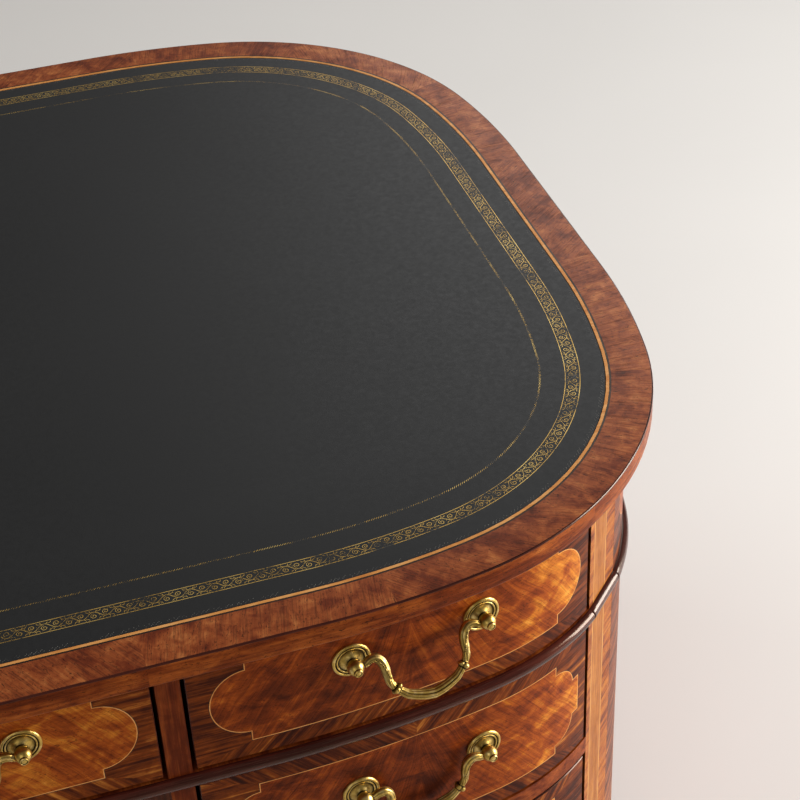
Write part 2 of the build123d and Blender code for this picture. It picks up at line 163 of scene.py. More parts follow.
class Plan:
    """A rounded plan run round from the middle of the front: straights and tangent arcs."""

    def __init__(self, half_x, half_y, end_straight, corner_radius, sweep, flat_width=0.0, heading=0.0):
        self.given = (half_x, half_y, end_straight, corner_radius, sweep, flat_width, heading)
        turn = radians(sweep)
        reach = half_y - end_straight / 2
        middle_reach = corner_radius * (cos(turn) - sin(turn))
        flank = (reach - middle_reach) / (sin(turn) + 1 - cos(turn))
        run = flank - corner_radius
        long_centre = (half_x - reach, half_y - flank)
        corner_centre = (half_x - reach + run * sin(turn), half_y - flank + run * cos(turn))
        end_centre = (half_x - flank, half_y - reach)
        quarter = [(long_centre, flank, pi / 2, pi / 2 - turn)]
        if flat_width:
            middle = radians(heading)
            half_flat = acos(sqrt(corner_radius**2 - (flat_width / 2) ** 2) / corner_radius)
            quarter.append((corner_centre, corner_radius, pi / 2 - turn, middle + half_flat))
            quarter.append((corner_centre, corner_radius, middle - half_flat, turn))
        else:
            quarter.append((corner_centre, corner_radius, pi / 2 - turn, turn))
        quarter.append((end_centre, flank, turn, 0.0))
        arcs = []
        for index, (x_sign, y_sign) in enumerate(((1, -1), (1, 1), (-1, 1), (-1, -1))):
            outwards = index % 2 == 0
            for centre, radius, start, end in quarter if outwards else quarter[::-1]:
                ends = (start, end) if outwards else (end, start)
                angles = [self.quadrant_angle(index, angle) for angle in ends]
                arcs.append(Arc((x_sign * centre[0], y_sign * centre[1]), radius, *angles))
        front = Vector((0.0, -half_y))
        self.stretches = [Straight(front, arcs[0].at(0)[0])]
        for arc, following in zip(arcs, arcs[1:] + [None]):
            self.stretches.append(arc)
            end = arc.at(1)[0]
            start = following.at(0)[0] if following else front
            if (start - end).length > board_arris:
                self.stretches.append(Straight(end, start))
        self.length = sum(stretch.length for stretch in self.stretches)

    @staticmethod
    def quadrant_angle(index, angle):
        return (-angle, angle, pi - angle, pi + angle)[index]

    def drawn_in(self, inset):
        """The same plan inside or, with a negative inset, outside this one."""
        half_x, half_y, end_straight, corner_radius, sweep, flat_width, heading = self.given
        radius = corner_radius - inset
        if flat_width:
            flat_distance = sqrt(corner_radius**2 - (flat_width / 2) ** 2) - inset
            flat_width = 2 * sqrt(radius**2 - flat_distance**2)
        return Plan(half_x - inset, half_y - inset, end_straight, radius, sweep, flat_width, heading)

    def place(self, run):
        """The point and the way out of it at a length from the middle of the front."""
        left = run % self.length
        for stretch in self.stretches:
            if left <= stretch.length:
                return stretch.at(left / stretch.length)
            left -= stretch.length
        return self.stretches[-1].at(1)

    def stations(self, facet, notch=0.0):
        """Steps round the plan: a stretch, a share of it, the length up to it, and how far it is cut in."""
        steps = []
        run = 0.0
        for index, stretch in enumerate(self.stretches):
            before = self.stretches[index - 1].at(1)[1]
            after = self.stretches[(index + 1) % len(self.stretches)].at(0)[1]
            starts_bent = notch and before.dot(stretch.at(0)[1]) < corner_cosine
            ends_bent = notch and after.dot(stretch.at(1)[1]) < corner_cosine
            count = max(1, ceil(stretch.length / facet))
            shares = [step / count for step in range(count)]
            cuts = [notch if starts_bent else 0.0] + [0.0] * (count - 1)
            if starts_bent:
                shares.insert(1, notch / stretch.length)
                cuts.insert(1, 0.0)
            if ends_bent:
                shares.append(1 - notch / stretch.length)
                cuts.append(0.0)
            steps += [(index, share, run + stretch.length * share, cut) for share, cut in zip(shares, cuts)]
            run += stretch.length
        return steps

    def ring(self, stations):
        """The plan's points at some stations, as cut in there."""
        cut_in = {}
        for _, _, _, cut in stations:
            if cut not in cut_in:
                cut_in[cut] = self.drawn_in(cut) if cut else self
        return [cut_in[cut].stretches[index].at(share)[0] for index, share, _, cut in stations]


top_low, top_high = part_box("top_crossband")
top_plan = Plan(top_high.x, top_high.y, top_end_straight, top_corner_radius, top_flank_sweep)
carcase_plan = Plan(
    top_high.x - top_overhang,
    top_high.y - top_overhang,
    carcase_end_straight,
    carcase_corner_radius,
    carcase_flank_sweep,
    pilaster_width,
    pilaster_heading,
)


# Materials

def colour(code):
    """An sRGB hex colour as linear values."""
    parts = [int(code[place:place + 2], 16) / 255 for place in (1, 3, 5)]
    linear = [part / 12.92 if part <= 0.04045 else ((part + 0.055) / 1.055) ** 2.4 for part in parts]
    return linear + [1.0]


def add(tree, kind, inputs=(), output=0, stops=None, **settings):
    """Adds a node and gives one of its outputs. Inputs are values or outputs, in order or by name."""
    made = tree.nodes.new("ShaderNode" + kind)
    for key, value in settings.items():
        setattr(made, key, value)
    for key, value in inputs.items() if isinstance(inputs, dict) else enumerate(inputs):
        if isinstance(value, bpy.types.NodeSocket):
            tree.links.new(value, made.inputs[key])
        else:
            made.inputs[key].default_value = value
    if stops:
        ramp = made.color_ramp.elements
        while len(ramp) < len(stops):
            ramp.new(1.0)
        for element, (place, code) in zip(ramp, stops):
            element.position = place
            element.color = colour(code)
    return made.outputs[output] if len(made.outputs) else None


def new_material(name, **values):
    """A material with only its output and a principled shader with these values on its sockets."""
    material = bpy.data.materials.new(name)
    material.use_nodes = True
    tree = material.node_tree
    tree.nodes.clear()
    words = {key.replace("_", " "): value for key, value in values.items()}
    surface = add(tree, "BsdfPrincipled", words)
    add(tree, "OutputMaterial", [surface])
    return material, tree, surface.node


def feed(tree, shader, **outputs):
    """Links outputs to the sockets of a shader."""
    for key, output in outputs.items():
        tree.links.new(output, shader.inputs[key.replace("_", " ")])


def grain_position(tree, source):
    """Along the grain, across it and the leaf or depth, from the veneer's own map or the solid's axes."""
    if source == "leaf":
        flat = add(tree, "SeparateXYZ", [add(tree, "UVMap", uv_map="grain")]).node.outputs
        return flat["X"], flat["Y"], add(tree, "Attribute", output="Fac", attribute_name="leaf")
    parts = add(tree, "SeparateXYZ", [add(tree, "TexCoord", output="Object")]).node.outputs
    order = {"x": "XYZ", "y": "YXZ", "z": "ZXY"}[source]
    return [parts[axis] for axis in order]


def figure(tree, position, lengths, shift=0.0, detail=4.0, distortion=0.5, roughness=0.55):
    """Soft noise drawn out along the grain: its size in metres along, across and through."""
    scale = [1 / length for length in lengths]
    drawn_out = add(tree, "VectorMath", [position, scale], operation="MULTIPLY")
    inputs = {
        "Vector": add(tree, "VectorMath", [drawn_out, [shift] * 3], operation="ADD"),
        "Scale": 1.0,
        "Detail": detail,
        "Roughness": roughness,
        "Distortion": distortion,
    }
    return add(tree, "TexNoise", inputs)


class Wood:
    """What one wood looks like: its tones, and the sizes and shares of its flame, streaks and mottle."""

    def __init__(self, source, tones, sizes, shares=(0.5, 0.25, 0.25), plume=False, marks=0.0, gloss=0.36,
                 pores=0.3, fade=0.0):
        self.source = source
        self.tones = tones
        self.sizes = sizes
        self.shares = shares
        self.plume = plume
        self.marks = marks
        self.gloss = gloss
        self.pores = pores
        self.fade = fade


# Grain: real pores and specks are too fine for the picture, so they are as coarse as they need to show
pore_size = (0.026, 0.0012)
pore_low = 0.5
pore_high = 0.68
pore_colour = "#1E0B06"
mark_size = (0.006, 0.002)
mark_low = 0.6
mark_high = 0.66
mark_colour = "#170A08"
noise_low = 0.25
noise_high = 0.75
leaf_stride = 61.0
leaf_tone_share = 0.1

# Crotch figure: how its lines rise beside the middle, sweep out and wander, and how it grows paler towards a
# front's outer end, partly its own figure and partly painted light on the end that curves towards the light
plume_spread = 0.02
plume_rise = 0.06
plume_slope = 1.25
plume_half_width = 0.16
plume_shade = 0.19
plume_paler_end_and_light = 0.15
plume_half_length = 0.19
plume_drift = 0.02
plume_drift_size = 0.09

# Polish, and the relief that it keeps
polish_tint = "#FFD2A6"
pore_roughness = 0.14
flame_roughness = -0.06
bump_depth = 0.00012
fine_bump = 0.3
brass_bump = 0.2


def plume_position(tree, plain, along, across):
    """The lines of a crotch figure: steep beside the middle of the panel, then sweeping down and out."""
    drift_size = (plume_drift_size, plume_drift_size, 1.0)
    drifted = []
    for start, shift in ((along, 71.0), (across, 83.0)):
        noise = figure(tree, plain, drift_size, shift, 2.0, 0.0)
        drift = add(tree, "Math", [noise, 0.5], operation="SUBTRACT")
        drifted.append(add(tree, "Math", [drift, plume_drift, start], operation="MULTIPLY_ADD"))
    beyond = add(tree, "Math", [drifted[0]], operation="ABSOLUTE")
    fall = add(tree, "Math", [beyond, -plume_spread], operation="DIVIDE")
    near = add(tree, "Math", [fall], operation="EXPONENT")
    steep = add(tree, "Math", [near, -plume_rise, plume_rise], operation="MULTIPLY_ADD")
    sweep = add(tree, "Math", [beyond, plume_slope, steep], operation="MULTIPLY_ADD")
    return beyond, add(tree, "Math", [drifted[1], sweep], operation="ADD")


def wood_colour(tree, wood, parts=None):
    """The colour of a wood, its open grain and its flame, from its own parts or those given."""
    along, across, depth = parts or grain_position(tree, wood.source)
    leaf = wood.source == "leaf"
    if leaf:
        depth = add(tree, "Math", [depth, leaf_stride], operation="MULTIPLY")
    plain = add(tree, "CombineXYZ", [along, across, depth])
    position, ribbon_along = plain, along
    if wood.plume:
        ribbon_along, ribbon_across = plume_position(tree, plain, along, across)
        position = add(tree, "CombineXYZ", [ribbon_along, ribbon_across, depth])

    def grown(place, size, *settings):
        return figure(tree, place, (*size, 1.0 if leaf else size[1]), *settings)

    layers = [(position, 3.1, 3.0, 0.6), (position, 17.7, 3.0, 0.3, 0.6), (plain, 41.3, 4.0, 0.7, 0.6)]
    figures = []
    tone = 0.0
    for (place, *settings), size, share in zip(layers, wood.sizes, wood.shares):
        figures.append(add(tree, "MapRange", [grown(place, size, *settings), noise_low, noise_high]))
        tone = add(tree, "Math", [figures[-1], share, tone], operation="MULTIPLY_ADD")
    if wood.plume:
        middle = add(tree, "MapRange", [ribbon_along, 0.0, plume_half_width, plume_shade, 0.0])
        tone = add(tree, "Math", [tone, middle], operation="SUBTRACT")
        # Paler towards the panel's outer end: partly the veneer's own figure, partly painted light on the end
        # that curves towards the light
        ends = [along, -plume_half_length, plume_half_length, -wood.fade, wood.fade]
        tone = add(tree, "Math", [tone, add(tree, "MapRange", ends)], operation="ADD")
    if leaf:
        own = add(tree, "Math", [add(tree, "Math", [depth], operation="FRACT"), 0.5], operation="SUBTRACT")
        tone = add(tree, "Math", [own, leaf_tone_share, tone], operation="MULTIPLY_ADD")
    shade = add(tree, "ValToRGB", [tone], stops=wood.tones)
    pores = add(tree, "MapRange", [grown(position, pore_size, 7.9, 2.0, 0.1), pore_low, pore_high])
    filled = add(tree, "Math", [pores, wood.pores], operation="MULTIPLY")
    shade = add(tree, "Mix", {0: filled, 6: shade, 7: colour(pore_colour)}, 2, data_type="RGBA")
    if wood.marks:
        specks = grown(plain, mark_size, 23.0, 2.0, 2.4)
        specks = add(tree, "MapRange", [specks, mark_low, mark_high, 0.0, wood.marks])
        shade = add(tree, "Mix", {0: specks, 6: shade, 7: colour(mark_colour)}, 2, data_type="RGBA")
    return shade, pores, figures[0]


def polished(name, coat, coat_roughness, specular):
    """A material under shellac, whose warm body tints what it reflects."""
    return new_material(
        name,
        Coat_Weight=coat,
        Coat_Roughness=coat_roughness,
        Specular_IOR_Level=specular,
        Specular_Tint=colour(polish_tint),
    )


def finish_wood(tree, shader, shade, pores, flame, gloss):
    """The wood's colour under polish that sinks a little into the pores."""
    rough = add(tree, "Math", [pores, pore_roughness, gloss], operation="MULTIPLY_ADD")
    rough = add(tree, "Math", [flame, flame_roughness, rough], operation="MULTIPLY_ADD")
    height = add(tree, "Math", [pores, -1.0], operation="MULTIPLY")
    bump = add(tree, "Bump", {"Height": height, "Distance": bump_depth, "Strength": fine_bump})
    feed(tree, shader, Base_Color=shade, Roughness=rough, Normal=bump)


def wood_material(name, wood, coat=0.03, coat_roughness=0.12, specular=0.08):
    """A material that shows one wood, polished."""
    material, tree, shader = polished(name, coat, coat_roughness, specular)
    finish_wood(tree, shader, *wood_colour(tree, wood), wood.gloss)
    return material


def flame_veneer(name, fade=0.0):
    """Crotch mahogany cut to show its flame, hand polished: brown middle, golden clouds, fine hair lines."""
    tones = [(0.14, "#4C1B09"), (0.36, "#77300E"), (0.54, "#A14B15"), (0.7, "#C87523"), (0.9, "#EAA443")]
    sizes = [(0.12, 0.05), (0.07, 0.006), (0.03, 0.017)]
    shares = (0.28, 0.24, 0.48)
    wood = Wood("leaf", tones, sizes, shares, plume=True, marks=0.6, pores=0.36, fade=fade)
    return wood_material(name, wood)


def border_veneer():
    """Straight-grained mahogany, sawn slanting for the borders: close brown and warm stripes."""
    tones = [(0.16, "#1F0904"), (0.4, "#431708"), (0.62, "#7A370F"), (0.88, "#C87C30")]
    sizes = [(0.12, 0.012), (0.07, 0.0034), (0.02, 0.014)]
    wood = Wood("leaf", tones, sizes, (0.4, 0.4, 0.2), marks=0.3)
    return wood_material("slanted_mahogany_veneer", wood)


def crossband_veneer():
    """Mahogany crossbanding of the top, grain running in from the edge: redder, feathered, a little dull."""
    tones = [(0.1, "#45190C"), (0.34, "#712F17"), (0.56, "#9A4E27"), (0.8, "#C0733E")]
    sizes = [(0.04, 0.026), (0.024, 0.0026), (0.012, 0.015)]
    wood = Wood("leaf", tones, sizes, (0.42, 0.2, 0.38), marks=0.75, gloss=0.42, pores=0.4)
    return wood_material("crossbanded_mahogany_veneer", wood, coat_roughness=0.22, specular=0.2)


def lipping_veneer():
    """The upright edge of the top, its grain running round: a warm brown band with a few dark specks."""
    tones = [(0.12, "#431605"), (0.4, "#702D0D"), (0.65, "#9E4F1B"), (0.9, "#D0803A")]
    sizes = [(0.12, 0.012), (0.05, 0.003), (0.03, 0.016)]
    wood = Wood("leaf", tones, sizes, (0.4, 0.25, 0.35), marks=0.8)
    return wood_material("edge_mahogany_veneer", wood)


def carcase_wood(source):
    """Solid mahogany of stiles, rails and posts, planed and polished: an even red brown, fine stripes."""
    tones = [(0.12, "#341107"), (0.4, "#61240C"), (0.65, "#8E4318"), (0.9, "#B6692D")]
    sizes = [(0.22, 0.02), (0.09, 0.0034), (0.03, 0.02)]
    return wood_material("polished_mahogany_" + source, Wood(source, tones, sizes, (0.4, 0.3, 0.3)))


def panel_wood():
    """Plain veneered boards inside the kneehole and at the back: upright, quieter grain."""
    tones = [(0.12, "#4A1D0B"), (0.4, "#793614"), (0.65, "#9A4F21"), (0.9, "#B87036")]
    sizes = [(0.3, 0.035), (0.12, 0.005), (0.04, 0.03)]
    return wood_material("upright_mahogany_veneer", Wood("z", tones, sizes, (0.45, 0.25, 0.3)))


def moulding_wood():
    """Mahogany bead stained dark and french polished: deep purple brown with a clear highlight."""
    tones = [(0.12, "#200A07"), (0.45, "#38140F"), (0.7, "#4E1F16"), (0.95, "#682D1E")]
    sizes = [(0.2, 0.006), (0.05, 0.0016), (0.03, 0.01)]
    wood = Wood("leaf", tones, sizes, gloss=0.24, pores=0.15)
    return wood_material("french_polished_dark_moulding", wood, coat=0.26, coat_roughness=0.07, specular=0.35)


def base_wood():
    """The plinths and their mouldings in the same dark polish, rubbed less: a quiet red brown."""
    tones = [(0.12, "#2B1009"), (0.45, "#4A1B0F"), (0.7, "#652A17"), (0.95, "#803E22")]
    sizes = [(0.2, 0.02), (0.06, 0.003), (0.03, 0.02)]
    return wood_material("polished_dark_base", Wood("x", tones, sizes, gloss=0.3), coat=0.25)


def lining_wood(source):
    """Planed ash drawer lining under thin wax: pale straw with soft brown stripes and no gloss."""
    tones = [(0.12, "#93683E"), (0.4, "#B08555"), (0.65, "#C49B68"), (0.9, "#D6B384")]
    sizes = [(0.3, 0.02), (0.1, 0.0035), (0.05, 0.03)]
    return wood_material("waxed_ash_lining_" + source, Wood(source, tones, sizes, gloss=0.55), coat=0.0)


def boxwood_string(name, source):
    """Boxwood stringing let in flush: a clean pale orange line."""
    tones = [(0.12, "#C07236"), (0.5, "#DE9650"), (0.9, "#F2B876")]
    sizes = [(0.04, 0.01), (0.015, 0.002), (0.01, 0.006)]
    return wood_material(name, Wood(source, tones, sizes, gloss=0.34, pores=0.1))


def ebony_line():
    """Ebonised pear line: nearly black, grey where the light grazes it."""
    tones = [(0.12, "#120B09"), (0.6, "#2A1C17"), (0.9, "#3C2C25")]
    sizes = [(0.05, 0.008), (0.02, 0.002), (0.02, 0.01)]
    return wood_material("ebonised_line", Wood("leaf", tones, sizes, gloss=0.42, pores=0.1), specular=0.3)


# Bands across a pilaster, from its edge beside the drawers
pilaster_inner_strip = 0.0084
pilaster_string = 0.0021
pilaster_field = 0.0232
pilaster_line = 0.0004
pilaster_line_share = 0.5
pilaster_line_colour = "#5A2A10"
pilaster_gloss = 0.34

# How far apart two pilasters lie in the figure, so that no two are alike
post_apart = 0.37


def pilaster_middle():
    """The middle of the front right pilaster's face, and the way out of it."""
    flat = [stretch for stretch in carcase_plan.stretches if isinstance(stretch, Straight)][1]
    return flat.at(0.5)


def pilaster_woods():
    """The upright golden field, the crosswise stripes and the strings of a pilaster."""
    field_tones = [(0.12, "#74380F"), (0.4, "#90501A"), (0.65, "#A66526"), (0.9, "#BE823A")]
    field_sizes = [(0.2, 0.01), (0.06, 0.0022), (0.02, 0.012)]
    strip_tones = [(0.26, "#5A200C"), (0.4, "#904616"), (0.6, "#AA6222"), (0.9, "#C07A32")]
    strip_sizes = [(0.05, 0.007), (0.04, 0.0028), (0.012, 0.008)]
    string_tones = [(0.12, "#B27030"), (0.5, "#C88C48"), (0.9, "#DCA864")]
    string_sizes = [(0.06, 0.01), (0.02, 0.002), (0.02, 0.01)]
    return (
        Wood("z", field_tones, field_sizes, (0.35, 0.35, 0.3)),
        Wood("z", strip_tones, strip_sizes, (0.62, 0.28, 0.1), marks=0.6),
        Wood("z", string_tones, string_sizes, pores=0.1),
    )


def pilaster_veneer():
    """Canted pilasters: an upright golden field between two boxwood strings and short crosswise stripes."""
    material, tree, shader = polished("banded_satin_mahogany_pilaster", 0.03, 0.12, 0.07)
    place = add(tree, "SeparateXYZ", [add(tree, "TexCoord", output="Object")]).node.outputs
    middle, out = pilaster_middle()
    parts = []
    for axis, centre, turn in (("X", middle.x, -out.y), ("Y", -middle.y, out.x)):
        from_desk = add(tree, "Math", [place[axis]], operation="ABSOLUTE")
        from_middle = add(tree, "Math", [from_desk, centre], operation="SUBTRACT")
        parts.append(add(tree, "Math", [from_middle, turn], operation="MULTIPLY"))
    across = add(tree, "Math", parts, operation="SUBTRACT")
    posts = [0.0]
    for side, apart in ((place["X"], post_apart), (place["Y"], post_apart / 2), (across, post_apart / 4)):
        sign = add(tree, "Math", [side], operation="SIGN")
        posts.append(add(tree, "Math", [sign, apart, posts[-1]], operation="MULTIPLY_ADD"))
    field_wood, strip_wood, string_wood = pilaster_woods()
    upright_parts = (place["Z"], across, posts[2])
    field, pores, flame = wood_colour(tree, field_wood, upright_parts)
    strip, _, _ = wood_colour(tree, strip_wood, (across, place["Z"], posts[3]))
    string, _, _ = wood_colour(tree, string_wood, upright_parts)
    inner = pilaster_inner_strip - pilaster_width / 2
    edges = [inner, inner + pilaster_string]
    edges += [edge + pilaster_string + pilaster_field for edge in edges]
    shade = strip
    for edge, band in zip(edges, (string, field, string, strip)):
        beyond = add(tree, "Math", [across, edge], operation="GREATER_THAN")
        shade = add(tree, "Mix", {0: beyond, 6: shade, 7: band}, 2, data_type="RGBA")
    for edge in edges:
        line = add(tree, "Math", [across, edge, pilaster_line], operation="COMPARE")
        line = add(tree, "Math", [line, pilaster_line_share], operation="MULTIPLY")
        inputs = {0: line, 6: shade, 7: colour(pilaster_line_colour)}
        shade = add(tree, "Mix", inputs, 2, data_type="RGBA")
    finish_wood(tree, shader, shade, pores, flame, pilaster_gloss)
    return material


# Leather: the size of its pressed pebbles, of its creases and of its cloudy tone
leather_grain = 0.0011
leather_crease = 0.006
leather_cloud = 0.3


def hide():
    """Aniline black cowhide, pressed and waxed: fine pebbled grain with a low, soft shine."""
    material, tree, shader = new_material("waxed_black_hide", Specular_IOR_Level=0.42)
    place = add(tree, "TexCoord", output="Object")
    inputs = {"Vector": place, "Scale": 1 / leather_grain, "Randomness": 0.9}
    pebble = add(tree, "TexVoronoi", inputs, "Distance", feature="SMOOTH_F1")
    crease = figure(tree, place, [leather_crease] * 3, 0.0, 6.0, 0.6, 0.6)
    cloud = figure(tree, place, [leather_cloud] * 3, 5.0, 3.0, 0.4)
    tone = add(tree, "Math", [cloud, 0.5], operation="MULTIPLY")
    tone = add(tree, "Math", [crease, 0.5, tone], operation="MULTIPLY_ADD")
    shade = add(tree, "ValToRGB", [tone], stops=[(0.3, "#0F0F0F"), (0.6, "#151515"), (0.85, "#1C1C1C")])
    rough = add(tree, "MapRange", [crease, 0.3, 0.7, 0.5, 0.6])
    height = add(tree, "Math", [crease, 0.6, pebble], operation="MULTIPLY_ADD")
    bump = add(tree, "Bump", {"Height": height, "Distance": bump_depth, "Strength": fine_bump})
    feed(tree, shader, Base_Color=shade, Roughness=rough, Normal=bump)
    return material


wear_size = 0.03
wear_speck = 0.0016
wear_step = 0.1
worn_colour = "#383326"


def worn_gold(name, keep):
    """Gold leaf tooled into hide and rubbed by use: bright flecks, with leather where it has gone."""
    material, tree, shader = new_material(name)
    place = add(tree, "TexCoord", output="Object")
    patch = figure(tree, place, [wear_size] * 3, 0.0, 3.0, 0.3)
    speck = figure(tree, place, [wear_speck] * 3, 9.0, 2.0, 0.2)
    left = add(tree, "Math", [patch, 0.8], operation="MULTIPLY")
    left = add(tree, "Math", [speck, 0.6, left], operation="MULTIPLY_ADD")
    left = add(tree, "MapRange", [left, keep, keep + wear_step])
    shade = add(tree, "ValToRGB", [patch], stops=[(0.3, "#AC863A"), (0.5, "#D6AB50"), (0.7, "#ECCB74")])
    shade = add(tree, "Mix", {0: left, 6: colour(worn_colour), 7: shade}, 2, data_type="RGBA")
    metal = add(tree, "Math", [left, 0.5], operation="MULTIPLY")
    rough = add(tree, "MapRange", [speck, 0.3, 0.7, 0.32, 0.5])
    feed(tree, shader, Base_Color=shade, Metallic=metal, Roughness=rough)
    return material


def blind_ticks():
    """Blind tooling at the edge of the hide: short nicks pressed without gold, coloured pale grey as painted
    glints on them.
    """
    material, tree, shader = new_material("blind_tooled_hide_painted_glint")
    patch = figure(tree, add(tree, "TexCoord", output="Object"), [wear_size] * 3, 2.0, 3.0, 0.3)
    # The pale greys stand for glints of light on the nicks: a painted highlight
    shade = add(tree, "ValToRGB", [patch], stops=[(0.42, "#1D1D1D"), (0.48, "#8C887F"), (0.7, "#B5B0A4")])
    rough = add(tree, "MapRange", [patch, 0.3, 0.7, 0.4, 0.6])
    feed(tree, shader, Base_Color=shade, Roughness=rough)
    return material


# Brass: its scratches are too fine for the picture, so they are drawn as coarse as they need to show
brass_scratch = 0.0009
brass_cloud = 0.006
patina_colour = "#241808"


def antique_brass():
    """Cast brass, chased, lacquered over brown patina: olive gold on the high places and dark hollows."""
    material, tree, shader = new_material("antiqued_cast_brass", Metallic=1.0)
    place = add(tree, "TexCoord", output="Object")
    cloud = figure(tree, place, [brass_cloud] * 3, 0.0, 4.0, 0.5)
    scratch = figure(tree, place, [brass_scratch] * 3, 4.0, 3.0, 0.2)
    recess = add(tree, "Attribute", output="Fac", attribute_name="recess")
    shade = add(tree, "ValToRGB", [cloud], stops=[(0.3, "#AE8C44"), (0.5, "#D0AC5A"), (0.7, "#EED08A")])
    dark = add(tree, "Math", [scratch, 0.35, recess], operation="MULTIPLY_ADD")
    dark = add(tree, "MapRange", [dark, 0.3, 0.95])
    shade = add(tree, "Mix", {0: dark, 6: shade, 7: colour(patina_colour)}, 2, data_type="RGBA")
    rough = add(tree, "Math", [scratch, 0.16, 0.26], operation="MULTIPLY_ADD")
    rough = add(tree, "Math", [dark, 0.2, rough], operation="MULTIPLY_ADD")
    bump = add(tree, "Bump", {"Height": scratch, "Distance": bump_depth, "Strength": brass_bump})
    feed(tree, shader, Base_Color=shade, Roughness=rough, Normal=bump)
    return material


# The drawer fronts' flame grows paler at their outer ends, partly painted light
flame = flame_veneer("flame_mahogany_veneer", plume_paler_end_and_light)
even_flame = flame_veneer("even_flame_mahogany_veneer")
border = border_veneer()
crossband = crossband_veneer()
lipping = lipping_veneer()
inlay = boxwood_string("boxwood_inlay_string", "leaf")
top_string = boxwood_string("boxwood_top_string", "x")
ebony = ebony_line()
upright = panel_wood()
post_wood = carcase_wood("z")
rail_wood = carcase_wood("x")
leaf_wood = carcase_wood("leaf")
side_wood = carcase_wood("y")
bead_wood = moulding_wood()
base = base_wood()
long_lining = lining_wood("y")
cross_lining = lining_wood("x")
satin = pilaster_veneer()
leather = hide()
scroll_gold = worn_gold("worn_gold_scroll_tooling", 0.55)
rope_gold = worn_gold("worn_gold_rope_tooling", 0.62)
ticks = blind_ticks()
brass = antique_brass()


# Meshes

crease_angle = radians(28)


class Surface:
    """Points and faces gathered with each face's finish, grain map and leaf."""

    def __init__(self):
        self.points = []
        self.faces = []
        self.finishes = []
        self.maps = []
        self.leaves = []
        self.recesses = []

    def add_points(self, points, recess=0.0):
        """Adds points with how deep the patina lies on them, and gives their numbers."""
        start = len(self.points)
        self.points += points
        self.recesses += [recess] * len(points)
        return list(range(start, start + len(points)))

    def add_face(self, corners, finish=0, grain=None, leaf=0.0):
        self.faces.append(corners)
        self.finishes.append(finish)
        self.maps.append(grain or [(0.0, 0.0)] * len(corners))
        self.leaves.append(leaf)

    def join(self, near, far):
        """Faces all round between two closed rows of points."""
        for index in range(len(near)):
            following = (index + 1) % len(near)
            self.add_face([near[index], near[following], far[following], far[index]])

    def build(self, name, materials):
        mesh = bpy.data.meshes.new(name)
        mesh.from_pydata(self.points, [], self.faces)
        for material in materials:
            mesh.materials.append(material)
        mesh.polygons.foreach_set("material_index", self.finishes)
        layer = mesh.uv_layers.new(name="grain")
        layer.data.foreach_set("uv", [part for face in self.maps for pair in face for part in pair])
        leaf = mesh.attributes.new("leaf", "FLOAT", "FACE")
        leaf.data.foreach_set("value", self.leaves)
        recess = mesh.attributes.new("recess", "FLOAT", "POINT")
        recess.data.foreach_set("value", self.recesses)
        mesh.update()
        mesh.shade_smooth()
        mesh.set_sharp_from_angle(angle=crease_angle)
        made = bpy.data.objects.new(name, mesh)
        bpy.context.scene.collection.objects.link(made)
        return made


def settle(piece, body, slot, *nodes):
    """Puts a piece on its body and in the place of its nodes. Its slot is not used."""
    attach(piece, body)
    if nodes:
        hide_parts(*nodes)
    return piece


def add_rings(surface, plan, profile, stations):
    """A row of points round a plan for each inset and height of a section."""
    rows = []
    for inset, height in profile:
        ring = plan.drawn_in(inset).ring(stations)
        rows.append(surface.add_points([(spot.x, spot.y, height) for spot in ring]))
    return rows


def sweep_round(surface, plan, profile, facet, dress, notch=0.0):
    """A closed section of insets and heights run all round a plan. dress gives a face its finish."""
    stations = plan.stations(facet, notch)
    rows = add_rings(surface, plan, profile, stations)
    runs = [station[2] for station in stations] + [plan.length]
    depths = [0.0]
    for (inset, height), (other_inset, other_height) in zip(profile, profile[1:] + profile[:1]):
        depths.append(depths[-1] + hypot(other_inset - inset, other_height - height))
    for side in range(len(profile)):
        near, far = rows[side], rows[(side + 1) % len(profile)]
        for index in range(len(stations)):
            following = (index + 1) % len(stations)
            corners = [near[index], far[index], far[following], near[following]]
            spots = [
                (runs[index], depths[side]),
                (runs[index], depths[side + 1]),
                (runs[index + 1], depths[side + 1]),
                (runs[index + 1], depths[side]),
            ]
            finish, grain, leaf = dress(side, runs[index], spots)
            surface.add_face(corners, finish, grain, leaf)


def turned(spots, angle):
    """A map with its grain at an angle to the first axis."""
    return [
        (first * cos(angle) + second * sin(angle), second * cos(angle) - first * sin(angle))
        for first, second in spots
    ]


def quarter_round(radius, inset, height, start, steps=5):
    """Points of a quarter arc about a centre given as an inset and a height."""
    spots = []
    for step in range(steps + 1):
        angle = start + pi / 2 * step / steps
        spots.append((inset + radius * cos(angle), height + radius * sin(angle)))
    return spots


# Top

crossband_leaf_count = 26
crossband_slant_spread = 44.0


